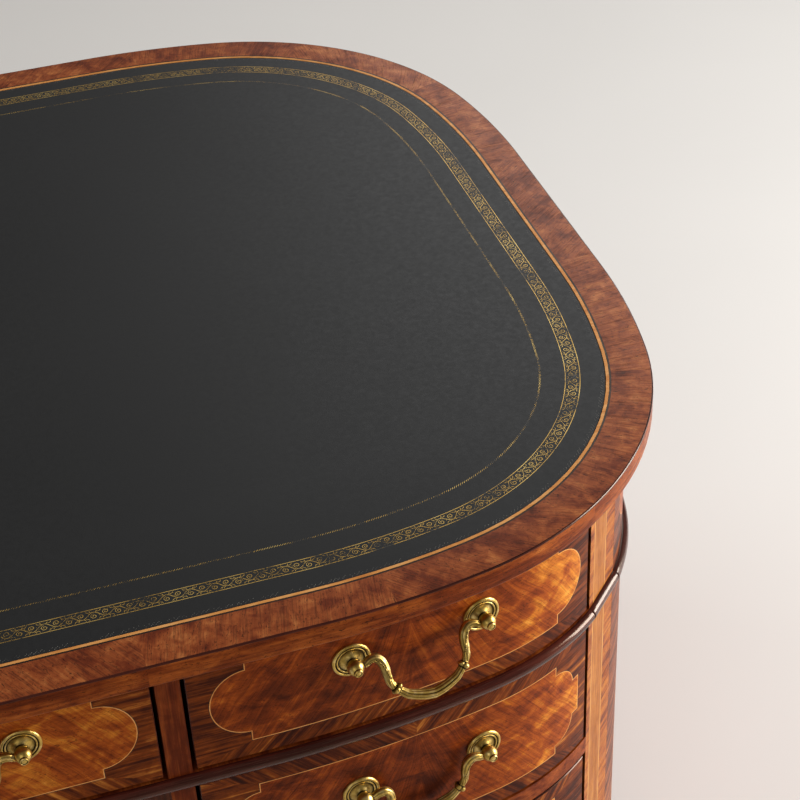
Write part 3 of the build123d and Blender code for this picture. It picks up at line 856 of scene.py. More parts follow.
def make_crossband():
    """The veneered rim of the top: banding, ebony line beside the string, round arris and upright edge; the
    arris is in dark polish as a painted shade line.
    """
    low, high = top_low.z, top_high.z
    arris = quarter_round(top_arris_radius, top_arris_radius, high - top_arris_radius, pi / 2)
    underside = quarter_round(top_underside_radius, top_underside_radius, low + top_underside_radius, pi)
    profile = [(crossband_width, high), (crossband_width - ebony_line_width, high)]
    profile += arris + underside + [(crossband_width, low)]
    finishes = [crossband, ebony, lipping, leaf_wood, bead_wood]
    chance = random.Random(7)
    leaf_length = top_plan.length / crossband_leaf_count
    slants = [radians(chance.uniform(-1, 1) * crossband_slant_spread) for _ in range(crossband_leaf_count)]
    flips = [chance.choice((-1, 1)) for _ in range(crossband_leaf_count)]
    underside_start = 2 + len(arris) + len(underside) - 1

    def dress(side, run, spots):
        leaf = int(run / leaf_length) % crossband_leaf_count
        finish = leaf_wood
        if side == 0:
            finish = ebony
        elif side == 1:
            finish = crossband
            middle = (leaf + 0.5) * leaf_length
            local = [(depth, flips[leaf] * (along - middle)) for along, depth in spots]
            spots = turned(local, slants[leaf])
        # The round arris takes the dark moulding polish: a painted shade line along the edge of the top
        elif side < 1 + len(arris):
            finish = bead_wood
        elif side < underside_start:
            finish = lipping
        return finishes.index(finish), spots, leaf / crossband_leaf_count

    surface = Surface()
    sweep_round(surface, top_plan, profile, facet_length, dress)
    piece = surface.build("top_crossbanding", finishes)
    settle(piece, "desk", "crossband_veneer", "top_crossband")


def make_leather():
    """The hide, a little below the string, with its edge turned down."""
    edge = top_plan.drawn_in(crossband_width + string_width)
    stations = edge.stations(facet_length)
    level = top_high.z - leather_sink
    profile = [
        (0.0, top_high.z - leather_thickness),
        (0.0, top_high.z - leather_edge_sink),
        (leather_edge_round / 3, level - leather_sink),
        (leather_edge_round, level),
    ]
    surface = Surface()
    rows = add_rings(surface, edge, profile, stations)
    for near, far in zip(rows, rows[1:]):
        surface.join(near, far)
    surface.add_face(rows[-1])
    surface.add_face(rows[0][::-1])
    piece = surface.build("writing_hide", [leather])
    settle(piece, "desk", "black_leather", "writing_leather")


class Tooling:
    """Flat strokes laid on the hide along a line at an inset from its edge."""

    def __init__(self, inset):
        self.line = top_plan.drawn_in(crossband_width + string_width + inset)
        self.surface = Surface()
        self.height = top_high.z - leather_sink + tooling_lift

    def stroke(self, path, width):
        """A stroke through points given along the line and inwards from it."""
        near, far = [], []
        for index, (run, inwards) in enumerate(path):
            before = path[max(index - 1, 0)]
            after = path[min(index + 1, len(path) - 1)]
            ahead = Vector((after[0] - before[0], after[1] - before[1])).normalized()
            share = 1.0 - abs(2 * index / (len(path) - 1) - 1) ** 4 * stroke_taper_share
            half = width / 2 * share
            near.append((run - ahead.y * half, inwards + ahead.x * half))
            far.append((run + ahead.y * half, inwards - ahead.x * half))
        rows = [self.surface.add_points([self.spot(*pair) for pair in row]) for row in (near, far)]
        for index in range(len(path) - 1):
            self.surface.add_face([rows[0][index], rows[1][index], rows[1][index + 1], rows[0][index + 1]])

    def spot(self, run, inwards):
        place, out = self.line.place(run)
        return (place.x - out.x * inwards, place.y - out.y * inwards, self.height)

    def ruled(self, width):
        """A plain line all round."""
        count = ceil(self.line.length / facet_length)
        runs = [self.line.length * index / count for index in range(count)]
        rows = []
        for inwards in (-width / 2, width / 2):
            rows.append(self.surface.add_points([self.spot(run, inwards) for run in runs]))
        self.surface.join(*rows)


# A scroll's vine, curls and leaves, as shares of half the band's width, and the dots between them
vine_steps = 12
vine_wave_share = 0.5
curl_steps = 11
curl_turns = 1.4
curl_closing = 0.8
curl_centre_share = 0.22
curl_reach_share = 0.46
leaf_slants = (-0.62, -0.3, 0.3, 0.62)
leaf_root_share = 0.7
leaf_low_share = 0.95
leaf_tip_share = 1.5
leaf_high_share = 0.84
leaf_bow_share = 0.2
leaf_sag_share = 0.06
stipple_count = 13
stipple_length = 0.0016
stipple_band_share = 0.82


def spiral(centre, radius, start, turns):
    """A stroke that curls in about a centre."""
    path = []
    for step in range(curl_steps + 1):
        share = step / curl_steps
        angle = start + 2 * pi * turns * share
        reach = radius * (1 - curl_closing * share)
        path.append((centre[0] + reach * cos(angle), centre[1] + reach * sin(angle)))
    return path


def scroll_leaf(centre, side, slant, half):
    """A small bent leaf that grows outwards from the vine beside a scroll."""
    root = (centre + slant * half * leaf_root_share, side * half * vine_wave_share * leaf_low_share)
    tip = (centre + slant * half * leaf_tip_share, side * half * leaf_high_share)
    bend_run = (root[0] + tip[0]) / 2 + slant * half * leaf_bow_share
    bend_inwards = (root[1] + tip[1]) / 2 - side * half * leaf_sag_share
    return [root, (bend_run, bend_inwards), tip]


def make_scrolls():
    """The wide gold band: a vine of curling scrolls and small leaves between two ruled lines."""
    middle = (scroll_band_outer + scroll_band_inner) / 2
    half = (scroll_band_inner - scroll_band_outer) / 2
    tooling = Tooling(middle)
    count = round(tooling.line.length / scroll_length)
    unit = tooling.line.length / count
    wave = half * vine_wave_share
    chance = random.Random(11)
    for index in range(count):
        start = unit * index
        vine = []
        for step in range(vine_steps + 1):
            vine.append((start + unit * step / vine_steps, wave * sin(2 * pi * step / vine_steps)))
        tooling.stroke(vine, scroll_width)
        for share, side in ((0.25, 1), (0.75, -1)):
            centre = start + unit * share
            eye = (centre, -side * half * curl_centre_share)
            curl = spiral(eye, half * curl_reach_share, side * pi / 2, side * curl_turns)
            tooling.stroke(curl, scroll_width)
            for slant in leaf_slants:
                tooling.stroke(scroll_leaf(centre, side, slant, half), scroll_width)
        for _ in range(stipple_count):
            run = start + unit * chance.random()
            inwards = half * chance.uniform(-stipple_band_share, stipple_band_share)
            angle = chance.uniform(0, pi)
            reach = stipple_length / 2 * chance.uniform(0.5, 1.0)
            ends = []
            for side in (-1, 1):
                ends.append((run + side * reach * cos(angle), inwards + side * reach * sin(angle)))
            tooling.stroke(ends, scroll_width)
    piece = tooling.surface.build("gold_scroll_tooling", [scroll_gold])
    settle(piece, "desk", "black_leather")
    for name, inset in (("outer", scroll_band_outer), ("inner", scroll_band_inner)):
        line = Tooling(inset)
        line.ruled(tooled_line_width)
        piece = line.surface.build(f"gold_{name}_line", [scroll_gold])
        settle(piece, "desk", "black_leather")


def make_rope():
    """The fine inner line: short gold strokes slanting like the lay of a rope."""
    tooling = Tooling(rope_inset)
    count = round(tooling.line.length / rope_pitch)
    unit = tooling.line.length / count
    for index in range(count):
        start = unit * index
        path = [(start, -rope_height / 2), (start + unit * 0.5, 0.0), (start + unit, rope_height / 2)]
        tooling.stroke(path, scroll_width)
    piece = tooling.surface.build("gold_rope_line", [rope_gold])
    settle(piece, "desk", "black_leather")


def make_ticks():
    """Nicks in slanting groups all along the edge of the hide."""
    tooling = Tooling(tick_inset)
    count = round(tooling.line.length / tick_pitch)
    unit = tooling.line.length / count
    chance = random.Random(5)
    for index in range(count):
        row = index % tick_rows
        share = index % tick_group / tick_group
        if share < tick_share and chance.random() < tick_chance:
            start = unit * index
            inwards = (row + share) * tick_pitch * tick_row_share
            tooling.stroke([(start, inwards), (start + tick_length / 2, inwards + tick_length)], tick_width)
    piece = tooling.surface.build("blind_edge_ticks", [ticks])
    settle(piece, "desk", "black_leather")


def make_waist_bead():
    """The half-round bead all round under the frieze."""
    low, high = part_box("waist_moulding")
    centre_inset = waist_round_radius - waist_projection
    middle = (low.z + high.z) / 2
    slack = (high.z - low.z) / 2 - waist_round_radius
    profile = [(0.0, high.z)]
    profile += quarter_round(waist_round_radius, centre_inset, middle + slack, pi / 2, bead_steps)
    profile += quarter_round(waist_round_radius, centre_inset, middle - slack, pi, bead_steps)
    profile += [(0.0, low.z)]

    def dress(side, run, spots):
        return 0, spots, bead_leaf

    surface = Surface()
    sweep_round(surface, carcase_plan, profile, facet_length, dress, mitre_notch)
    piece = surface.build("waist_bead", [bead_wood])
    settle(piece, "desk", "dark_moulding", "waist_moulding")


# Inlaid panels

shoulder_step = 0.01
round_end_reach = 0.031
tab_reach = 0.0085
tab_half_height = 0.0205
quarter_reach = 0.0235
round_end_steps = 22
ear_steps = 12


def ellipse_run(centre, reach, rise, start, end, steps):
    """Points of an ellipse between two angles, about a centre."""
    spots = []
    for step in range(steps + 1):
        angle = start + (end - start) * step / steps
        spots.append((centre[0] + reach * cos(angle), centre[1] + rise * sin(angle)))
    return spots


def round_ended(half_length, half_height, grow):
    """A panel whose ends are half rounds between small square shoulders."""
    shoulder = half_length - round_end_reach
    rise = half_height - shoulder_step
    start = acos(min(1.0, grow / (round_end_reach + grow)))
    arc = ellipse_run((shoulder, 0.0), round_end_reach + grow, rise + grow, start, -start, round_end_steps)
    right = [(shoulder + grow, half_height + grow)] + arc + [(shoulder + grow, -half_height - grow)]
    left = [(-across, -up) for across, up in right]
    return right + left


def eared(half_length, half_height, grow):
    """A cartouche: square shoulders, quarter rounds, and a tab in the middle of each end."""
    shoulder = half_length - tab_reach - quarter_reach
    rise = half_height - shoulder_step - tab_half_height
    start = acos(min(1.0, grow / (quarter_reach + grow)))
    centre = (shoulder, tab_half_height)
    end = grow / (rise + grow)
    upper = ellipse_run(centre, quarter_reach + grow, rise + grow, start, end, ear_steps)
    tab = (half_length + grow, tab_half_height + grow)
    upper = [(shoulder + grow, half_height + grow)] + upper + [tab]
    lower = [(across, -up) for across, up in upper[::-1]]
    right = upper + lower
    left = [(-across, -up) for across, up in right]
    return right + left


def inside(spot, loop):
    """Whether a spot lies inside a closed loop."""
    across, up = spot
    within = False
    for (first_across, first_up), (second_across, second_up) in zip(loop, loop[1:] + loop[:1]):
        if (first_up > up) != (second_up > up):
            share = (up - first_up) / (second_up - first_up)
            if across < first_across + share * (second_across - first_across):
                within = not within
    return within


class Drawing:
    """Lines that cut a flat panel into its leaves, worked out in millimetres for the triangulation."""

    scale = 1000.0

    def __init__(self):
        self.spots = []
        self.edges = []

    def trace(self, path, closed=False):
        start = len(self.spots)
        self.spots += [Vector(spot) * self.scale for spot in path]
        self.edges += [(start + index, start + index + 1) for index in range(len(path) - 1)]
        if closed:
            self.edges.append((start + len(path) - 1, start))

    def triangles(self):
        tolerance = 1 / self.scale
        spots, _, faces, *_ = delaunay_2d_cdt(self.spots, self.edges, [], 0, tolerance)
        spots = [(spot.x / self.scale, spot.y / self.scale) for spot in spots]
        return spots, [clockwise_fixed(face, spots) for face in faces]


def clockwise_fixed(face, spots):
    first, second, third = [spots[corner] for corner in face]
    area = (second[0] - first[0]) * (third[1] - first[1]) - (third[0] - first[0]) * (second[1] - first[1])
    return list(face) if area > 0 else list(face)[::-1]


def rim_of(faces):
    """The closed outer edge of some triangles, in order."""
    open_sides = {}
    for face in faces:
        for start, end in zip(face, face[1:] + face[:1]):
            if (end, start) in open_sides:
                del open_sides[(end, start)]
            else:
                open_sides[(start, end)] = True
    step = {start: end for start, end in open_sides}
    first = next(iter(step))
    rim = [first]
    while step[rim[-1]] != first:
        rim.append(step[rim[-1]])
    return rim


# Numbers of a panel's finishes, as its lists of materials have them
field_part, string_part, line_part, border_part, shaded_edge_part, back_part = range(6)
halvings = 40
match_scale = 1e5


def halved(near, far, short):
    """The place between two where something no longer falls short, found by halving."""
    for _ in range(halvings):
        middle = (near + far) / 2
        if short(middle):
            near = middle
        else:
            far = middle
    return near


class Panel:
    """An inlaid panel on the carcase's outline: where it lies, its leaves and its string."""

    def __init__(self, ends, low, high, thickness, shape, margin, end_margin, seed, arris, shift=0.0):
        self.middle = (ends[0] + ends[1]) / 2
        self.shift = shift
        self.hand = -1 if self.middle < 0 else 1
        self.half_length = (ends[1] - ends[0]) / 2
        self.mid_z = (low + high) / 2
        self.half_height = (high - low) / 2
        self.thickness = thickness
        self.arris = arris
        grows = (0.0, inlay_string, inlay_string + inlay_shadow)
        field_length = self.half_length - end_margin
        loops = [shape(field_length, self.half_height - margin, grow) for grow in grows]
        self.loops = [[(across + shift, up) for across, up in loop] for loop in loops]
        self.chance = random.Random(seed)
        self.leaf_seeds = {}

    def spot(self, across, up, depth):
        place, out = carcase_plan.place(self.middle + across)
        return (place.x - out.x * depth, place.y - out.y * depth, self.mid_z + up)

    def leaf(self, key):
        if key not in self.leaf_seeds:
            self.leaf_seeds[key] = self.chance.random()
        return self.leaf_seeds[key]

    def corner(self, side):
        """How far the field's shoulder is out along one side of the panel, and up."""
        across, up = self.loops[2][0]
        return across - self.shift + side * self.shift, up

    def dress(self, spots):
        """The finish, map and leaf of a small face of the panel's surface."""
        centre = (sum(across for across, _ in spots) / len(spots), sum(up for _, up in spots) / len(spots))
        if inside(centre, self.loops[0]):
            return field_part, [(self.hand * across, up) for across, up in spots], self.leaf("field")
        if inside(centre, self.loops[1]):
            return string_part, spots, self.leaf("string")
        if inside(centre, self.loops[2]):
            return line_part, spots, self.leaf("line")
        across, up = abs(centre[0]), abs(centre[1])
        corner_across, corner_up = self.corner(1 if centre[0] > 0 else -1)
        run = self.half_length - self.arris - corner_across
        rise = self.half_height - self.arris - corner_up
        above = run * (up - corner_up) - rise * (across - corner_across) > 0
        signs = (centre[0] > 0, centre[1] > 0)
        if across <= corner_across or above:
            slant = radians(border_slant) * (1 if signs[0] == signs[1] else -1)
            return border_part, turned(spots, slant), self.leaf(signs)
        return border_part, spots, self.leaf(signs[0])

    def draw(self):
        """The panel's face cut into triangles along its leaves and string."""
        drawing = Drawing()
        wide, tall = self.half_length - self.arris, self.half_height - self.arris
        drawing.trace([(-wide, -tall), (wide, -tall), (wide, tall), (-wide, tall)], closed=True)
        for loop in self.loops:
            drawing.trace(loop, closed=True)
        count = ceil(2 * wide / facet_length)
        for index in range(1, count):
            across = -wide + 2 * wide * index / count
            drawing.trace([(across, -tall), (across, tall)])
        for x_sign in (-1, 1):
            corner_across, corner_up = self.corner(x_sign)
            for y_sign in (-1, 1):
                drawing.trace([(x_sign * corner_across, y_sign * corner_up), (x_sign * wide, y_sign * tall)])
        for y_sign in (-1, 1):
            drawing.trace([(0.0, y_sign * corner_up), (0.0, y_sign * tall)])
        return drawing.triangles()

    def squared(self, edge):
        """The edge along the back of a front, whose ends stay square to the desk."""
        ends = []
        for end in (-self.half_length, self.half_length):
            target = self.spot(end, 0.0, 0.0)[0]

            def short(across):
                return self.spot(across, 0.0, self.thickness)[0] < target

            ends.append(halved(end - self.thickness, end + self.thickness, short))
        placed = []
        for across, up in edge:
            share = (across + self.half_length) / (2 * self.half_length)
            placed.append((ends[0] + (ends[1] - ends[0]) * share, up))
        return placed

    def surface(self, square):
        """The whole board: its inlaid face, its arris, its edges and its back."""
        made = Surface()
        spots, faces = self.draw()
        numbers = made.add_points([self.spot(across, up, 0.0) for across, up in spots])
        for face in faces:
            finish, grain, leaf = self.dress([spots[corner] for corner in face])
            made.add_face([numbers[corner] for corner in face], finish, grain, leaf)
        rim = rim_of(faces)
        wide = self.half_length / (self.half_length - self.arris)
        tall = self.half_height / (self.half_height - self.arris)
        edge = [(spots[corner][0] * wide, spots[corner][1] * tall) for corner in rim]
        shoulder = made.add_points([self.spot(across, up, self.arris) for across, up in edge])
        back_edge = self.squared(edge) if square else edge
        back = made.add_points([self.spot(across, up, self.thickness) for across, up in back_edge])
        front = [numbers[corner] for corner in rim]
        leaf = self.leaf("edge")
        for index in range(len(rim)):
            following = (index + 1) % len(rim)
            run, other_run = edge[index][0] + edge[index][1], edge[following][0] + edge[following][1]
            for near, far, near_depth, far_depth in (
                (front, shoulder, 0.0, self.arris),
                (shoulder, back, self.arris, self.thickness),
            ):
                grain = [(run, near_depth), (run, far_depth), (other_run, far_depth), (other_run, near_depth)]
                corners = [near[index], far[index], far[following], near[following]]
                # Edges and arris take the dark moulding polish: painted shade for the gaps between boards
                made.add_face(corners, shaded_edge_part, grain, leaf)
        self.close_back(made, edge, back)
        return made

    def close_back(self, made, edge, back):
        """The back, triangulated across from the lower to the upper edge."""
        drawing = Drawing()
        drawing.trace(edge, closed=True)
        tops = {round(across * match_scale): index for index, (across, up) in enumerate(edge) if up > 0}
        limit = self.half_height - self.arris
        for index, (across, up) in enumerate(edge):
            match = tops.get(round(across * match_scale))
            if up < -limit and match is not None and edge[match][1] > limit:
                drawing.edges.append((index, match))
        tolerance = 1 / drawing.scale
        _, _, faces, origins, *_ = delaunay_2d_cdt(drawing.spots, drawing.edges, [], 0, tolerance)
        for face in faces:
            corners = [origins[corner][0] for corner in face]
            ordered = clockwise_fixed(corners, edge)[::-1]
            grain = [edge[corner] for corner in ordered]
            made.add_face([back[corner] for corner in ordered], back_part, grain, self.leaf("back"))


def run_at_front(x):
    """The length along the carcase's outline up to an x on its front."""
    run = halved(0.0, abs(x) * 2, lambda tried: carcase_plan.place(tried)[0].x < abs(x))
    return run if x > 0 else -run


# Each board's edges and arris take the dark moulding polish: painted shade that makes the gaps between the
# boards read black
panel_finishes = [even_flame, inlay, ebony, border, bead_wood, cross_lining]
sided_finishes = [flame] + panel_finishes[1:]
front_margin = 0.0173
front_end_margin = 0.015
drawer_names = (
    "frieze_right", "frieze_left", "frieze_centre", "upper_right", "upper_left", "deep_right", "deep_left"
)


def make_fronts():
    """The veneered drawer fronts, bent to the curve of the desk."""
    for seed, name in enumerate(drawer_names):
        node_name = name + "_front"
        low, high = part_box(node_name)
        ends = (run_at_front(low.x), run_at_front(high.x))
        shape = round_ended if name.startswith("frieze") else eared
        panel = Panel(
            ends,
            low.z,
            high.z,
            front_thickness,
            shape,
            front_margin,
            front_end_margin,
            seed,
            front_arris,
            field_shift * ((ends[0] > 0) - (ends[1] < 0)),
        )
        finishes = panel_finishes if name == "frieze_centre" else sided_finishes
        piece = panel.surface(square=True).build(node_name + "_veneered", finishes)
        settle(piece, name + "_drawer", "drawer_veneer", node_name)


wall_margin = 0.022
tall_margin = 0.045


def wall_panel(name, wall_node, ends, heights, shape, margin, seed):
    """One inlaid panel in the place of a wall, or of a part of it."""
    panel = Panel(ends, *heights, wall_thickness, shape, margin, margin, seed, board_arris)
    piece = panel.surface(square=False).build(name + "_veneered", panel_finishes)
    settle(piece, "desk", "mahogany_veneer", wall_node)


def make_walls():
    """The bowed ends and the back, inlaid as the drawers are."""
    runs = [0.0]
    for stretch in carcase_plan.stretches:
        runs.append(runs[-1] + stretch.length)
    pilaster_start, pilaster_end = runs[3:5]
    back_middle = carcase_plan.length / 2
    span = (pilaster_end, back_middle - pilaster_end)
    far_span = (-span[1], -span[0])
    frieze = [corner.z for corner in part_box("frieze_end_right")]
    pedestal = [corner.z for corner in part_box("pedestal_end_right")]
    for side, ends in (("right", span), ("left", far_span)):
        name = "frieze_end_" + side
        wall_panel(name, name, ends, frieze, round_ended, wall_margin, 21)
        name = "pedestal_end_" + side
        wall_panel(name, name, ends, pedestal, eared, tall_margin, 22)
    stile_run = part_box("pedestal_back_right")[0].x
    back_spans = {
        "right": (back_middle - pilaster_start, back_middle - stile_run),
        "left": (back_middle + stile_run, back_middle + pilaster_start),
    }
    for side, ends in back_spans.items():
        name = "pedestal_back_" + side
        wall_panel(name, name, ends, pedestal, eared, tall_margin, 23)
        wall_panel("frieze_back_" + side, "frieze_back", ends, frieze, round_ended, wall_margin, 24)
    ends = (back_middle - stile_run, back_middle + stile_run)
    wall_panel("frieze_back_middle", "frieze_back", ends, frieze, round_ended, wall_margin, 25)


# Pulls

lathe_steps = 48
tube_steps = 40

# Radius, height above the drawer and how deep the patina lies, from the rim in to the neck
rosette_profile = [
    (0.0165, 0.0000, 0.2), (0.0165, 0.0009, 0.0), (0.0162, 0.0016, 0.0), (0.0156, 0.0021, 0.0),
    (0.0148, 0.0023, 0.0), (0.0141, 0.0021, 0.1), (0.0137, 0.0015, 0.9), (0.0133, 0.0013, 1.0),
    (0.0129, 0.0016, 0.7), (0.0124, 0.0020, 0.0), (0.0118, 0.0020, 0.0), (0.0113, 0.0015, 0.7),
    (0.0108, 0.0011, 0.8), (0.0098, 0.0010, 0.5), (0.0086, 0.0012, 0.3), (0.0074, 0.0017, 0.2),
    (0.0062, 0.0025, 0.3), (0.0052, 0.0034, 0.5), (0.0044, 0.0042, 0.8), (0.0040, 0.0047, 1.0),
]
boss_profile = [
    (0.0036, 0.0165, 0.8), (0.0034, 0.0168, 1.0), (0.0036, 0.0174, 0.4), (0.0036, 0.0182, 0.0),
    (0.0031, 0.0187, 0.0), (0.0026, 0.0186, 0.5), (0.0023, 0.0182, 0.8), (0.0018, 0.0184, 0.1),
    (0.0000, 0.0186, 0.0),
]
ball_angles = (-0.97, 1.32)
ball_steps = 17
bolt_radius = 0.0024
bolt_end = 0.0279
nut_radius = 0.005
nut_thickness = 0.0035
nut_start = 0.0221

# Centre line of a hanging bail's right half, outwards and down from the pins' line: radius there
bail_line = [
    (0.0000, 0.0410, 0.0046), (0.0084, 0.0395, 0.0045), (0.0194, 0.0356, 0.0040), (0.0240, 0.0326, 0.0036),
    (0.0294, 0.0273, 0.0031), (0.0335, 0.0212, 0.0032), (0.0350, 0.0150, 0.0034), (0.0352, 0.0090, 0.0037),
    (0.0367, 0.0022, 0.0039), (0.0405, -0.0022, 0.0037), (0.0448, -0.0022, 0.0033), (0.0478, -0.0006, 0.0029),
    (0.0494, 0.0000, 0.0027),
]
neck_shift_start = 0.036
neck_shift_length = 0.0134
spans_per_station = 9
collar_place = 4
collar_reach = 0.0026
collar_lobe = 0.0026
collar_beads = 4
reed_depth = 0.2
reed_count = 9
reed_twist = 90.0
leaf_rim = 0.42
leaf_rim_relief = 0.0009
leaf_relief = 0.0006
leaf_bead_pitch = 0.0017
leaf_middle = 0.5
leaf_start_station = 5
leaf_start_span = 4
leaf_width = 2.0
leaf_ground_share = 0.93
leaf_ground_recess = 0.35
leaf_vein_count = 9
leaf_vein_start = 0.06
leaf_vein_recess = 0.7
neck_reed_share = 0.8


def ball_profile():
    """The ball between the neck and the boss."""
    spots = []
    start, end = ball_angles
    for step in range(1, ball_steps + 1):
        angle = start + (end - start) * step / ball_steps
        spots.append((ball_radius * cos(angle), ball_stand + ball_radius * sin(angle), 0.0))
    return spots


def front_place(x, z):
    """The point on the front at an x, the way along it and the way out."""
    place, out = carcase_plan.place(run_at_front(x))
    return Vector((place.x, place.y, z)), Vector((-out.y, out.x, 0.0)), Vector((out.x, out.y, 0.0))


def lathe(surface, origin, along, out, profile, close_start=False):
    """A turned form about the way out of the drawer."""
    up = Vector((0.0, 0.0, 1.0))
    rows = []
    for radius, height, recess in profile:
        ring = []
        for step in range(lathe_steps):
            angle = 2 * pi * step / lathe_steps
            ring.append(origin + out * height + (along * cos(angle) + up * sin(angle)) * radius)
        rows.append(surface.add_points(ring if radius else ring[:1], recess))
    for near, far in zip(rows, rows[1:]):
        if len(near) == len(far):
            surface.join(near, far)
            continue
        for index in range(lathe_steps):
            following = (index + 1) % lathe_steps
            if len(far) == 1:
                surface.add_face([near[index], near[following], far[0]])
            else:
                surface.add_face([near[0], far[following], far[index]])
    if close_start:
        surface.add_face(rows[0][::-1])


def add_post(surface, x, z):
    """Rosette, ball and boss on the front, with the bolt and its nut inside the drawer."""
    origin, along, out = front_place(x, z)
    profile = rosette_profile + ball_profile() + boss_profile
    lathe(surface, origin, along, out, profile, close_start=True)
    bolt = [(0.0, -bolt_end, 0.5), (bolt_radius, -bolt_end, 0.5), (bolt_radius, -nut_start, 0.5)]
    nut = [
        (bolt_radius, -nut_start - nut_thickness, 0.6),
        (nut_radius, -nut_start - nut_thickness, 0.2),
        (nut_radius, -nut_start, 0.2),
        (bolt_radius, -nut_start, 0.6),
    ]
    lathe(surface, origin, along, out, bolt)
    lathe(surface, origin, along, out, nut)
    return origin + out * ball_stand


def smooth_line(stations, per_span):
    """A line through all the stations, bent evenly between them."""
    line = []
    for index in range(len(stations) - 1):
        before = Vector(stations[max(index - 1, 0)])
        start = Vector(stations[index])
        end = Vector(stations[index + 1])
        after = Vector(stations[min(index + 2, len(stations) - 1)])
        for step in range(per_span):
            share = step / per_span
            slope = (end - before) * share
            bend = (2 * before - 5 * start + 4 * end - after) * share**2
            twist = (3 * start - before - 3 * end + after) * share**3
            line.append(0.5 * (2 * start + slope + bend + twist))
    line.append(Vector(stations[-1]))
    return line


def half_bail(half_span):
    """Half the bail's line with its radii, from the grip to the pin, fitted to the balls."""
    shift = half_span - ball_radius - neck_gap - bail_line[-1][0]
    fitted = []
    for across, down, radius in bail_line:
        share = min(1.0, max(0.0, (across - neck_shift_start) / neck_shift_length))
        fitted.append((across + shift * share, down, radius))
    return smooth_line(fitted, spans_per_station)


def reeded(base, angle, depth):
    """A reeded round: its radius and how dark its grooves are."""
    groove = (1 - abs(sin(reed_count * angle / 2))) ** 2
    return base * (1 - depth * groove), groove


def bail_radius(base, angle, run, collar_run, leaf_start, leaf_end):
    """The surface of the bail: reeded grip, beaded collar, and a leaf with a beaded rim on the neck."""
    from_collar = run - collar_run
    if abs(from_collar) < collar_reach:
        bulge = cos(from_collar / collar_reach * pi / 2) ** 0.7
        bead = 0.25 + 0.75 * abs(cos(collar_beads / 2 * (angle - leaf_middle))) ** 0.6
        return base + collar_lobe * bulge * bead, 1.0 - bulge * bead
    if from_collar < 0:
        return reeded(base, angle, reed_depth)
    reach, recess = reeded(base, angle + reed_twist * from_collar, reed_depth * neck_reed_share)
    share = (run - leaf_start) / (leaf_end - leaf_start)
    if share <= 0:
        return reach, recess
    width = leaf_width * sin(pi * min(0.5, share * 0.42 + 0.03)) ** 0.6
    turn = abs((angle - leaf_middle + pi) % (2 * pi) - pi)
    inwards = width - turn
    if inwards < 0:
        return base * leaf_ground_share, leaf_ground_recess
    if inwards < leaf_rim:
        bead = abs(cos(pi * run / leaf_bead_pitch))
        crown = sin(pi * inwards / leaf_rim)
        return base + leaf_rim_relief * crown * (0.35 + 0.65 * bead), 1.0 - crown * (0.25 + 0.75 * bead)
    vein = abs(cos(leaf_vein_count / 2 * (turn - leaf_vein_start)))
    return base + leaf_relief * (0.4 + 0.6 * vein), (1 - vein) * leaf_vein_recess


def make_bail(name, body, low_ball, high_ball, lift, nodes):
    """A swan-necked bail hung between two balls."""
    middle = (low_ball + high_ball) / 2
    along = (high_ball - low_ball).normalized()
    out = Vector((along.y, -along.x, 0.0))
    down = Vector((0.0, 0.0, -1.0)) * cos(lift) + out * sin(lift)
    normal = out * cos(lift) + Vector((0.0, 0.0, 1.0)) * sin(lift)
    half_span = (high_ball - low_ball).length / 2
    half = half_bail(half_span)
    full = [(-spot[0], spot[1], spot[2]) for spot in half[:0:-1]] + [tuple(spot) for spot in half]
    runs = [0.0]
    for (across, drop, _), (next_across, next_drop, _) in zip(half, half[1:]):
        runs.append(runs[-1] + hypot(next_across - across, next_drop - drop))
    collar_run = runs[collar_place * spans_per_station]
    leaf_start = runs[leaf_start_station * spans_per_station + leaf_start_span]
    leaf_end = runs[-1]
    lengths = runs[:0:-1] + runs
    surface = Surface()
    rows = []
    for index, ((across, drop, radius), run) in enumerate(zip(full, lengths)):
        before = full[max(index - 1, 0)]
        after = full[min(index + 1, len(full) - 1)]
        ahead = Vector((after[0] - before[0], after[1] - before[1])).normalized()
        side = -1 if index < len(full) // 2 else 1
        place = middle + along * across + down * drop
        outward = (along * ahead.y - down * ahead.x) * side
        row = []
        recesses = []
        for step in range(tube_steps):
            angle = 2 * pi * step / tube_steps
            reach, recess = bail_radius(radius, angle, run, collar_run, leaf_start, leaf_end)
            row.append(place + (outward * cos(angle) * side + normal * sin(angle)) * reach)
            recesses.append(recess)
        rows.append(surface.add_points(row))
        surface.recesses[-tube_steps:] = recesses
    for near, far in zip(rows, rows[1:]):
        surface.join(near, far)
    surface.add_face(rows[0][::-1])
    surface.add_face(rows[-1])
    add_pins(surface, middle, along, half_span, normal)
    piece = surface.build(name, [brass])
    settle(piece, body, "antique_brass", *nodes)


def add_pins(surface, middle, along, half_span, normal):
    """The two pins that the bail turns on, from the ends of its necks into the balls."""
    across = normal.cross(along)
    near, far = half_span - ball_radius - neck_gap, half_span - pin_end_gap
    for side in (-1, 1):
        rows = []
        for reach in (near, far):
            centre = middle + along * side * reach
            ring = []
            for step in range(tube_steps):
                angle = 2 * pi * step / tube_steps * side
                ring.append(centre + (normal * cos(angle) + across * sin(angle)) * pin_radius)
            rows.append(surface.add_points(ring, 0.5))
        surface.join(rows[1], rows[0])
        surface.add_face(rows[0])
        surface.add_face(rows[1][::-1])


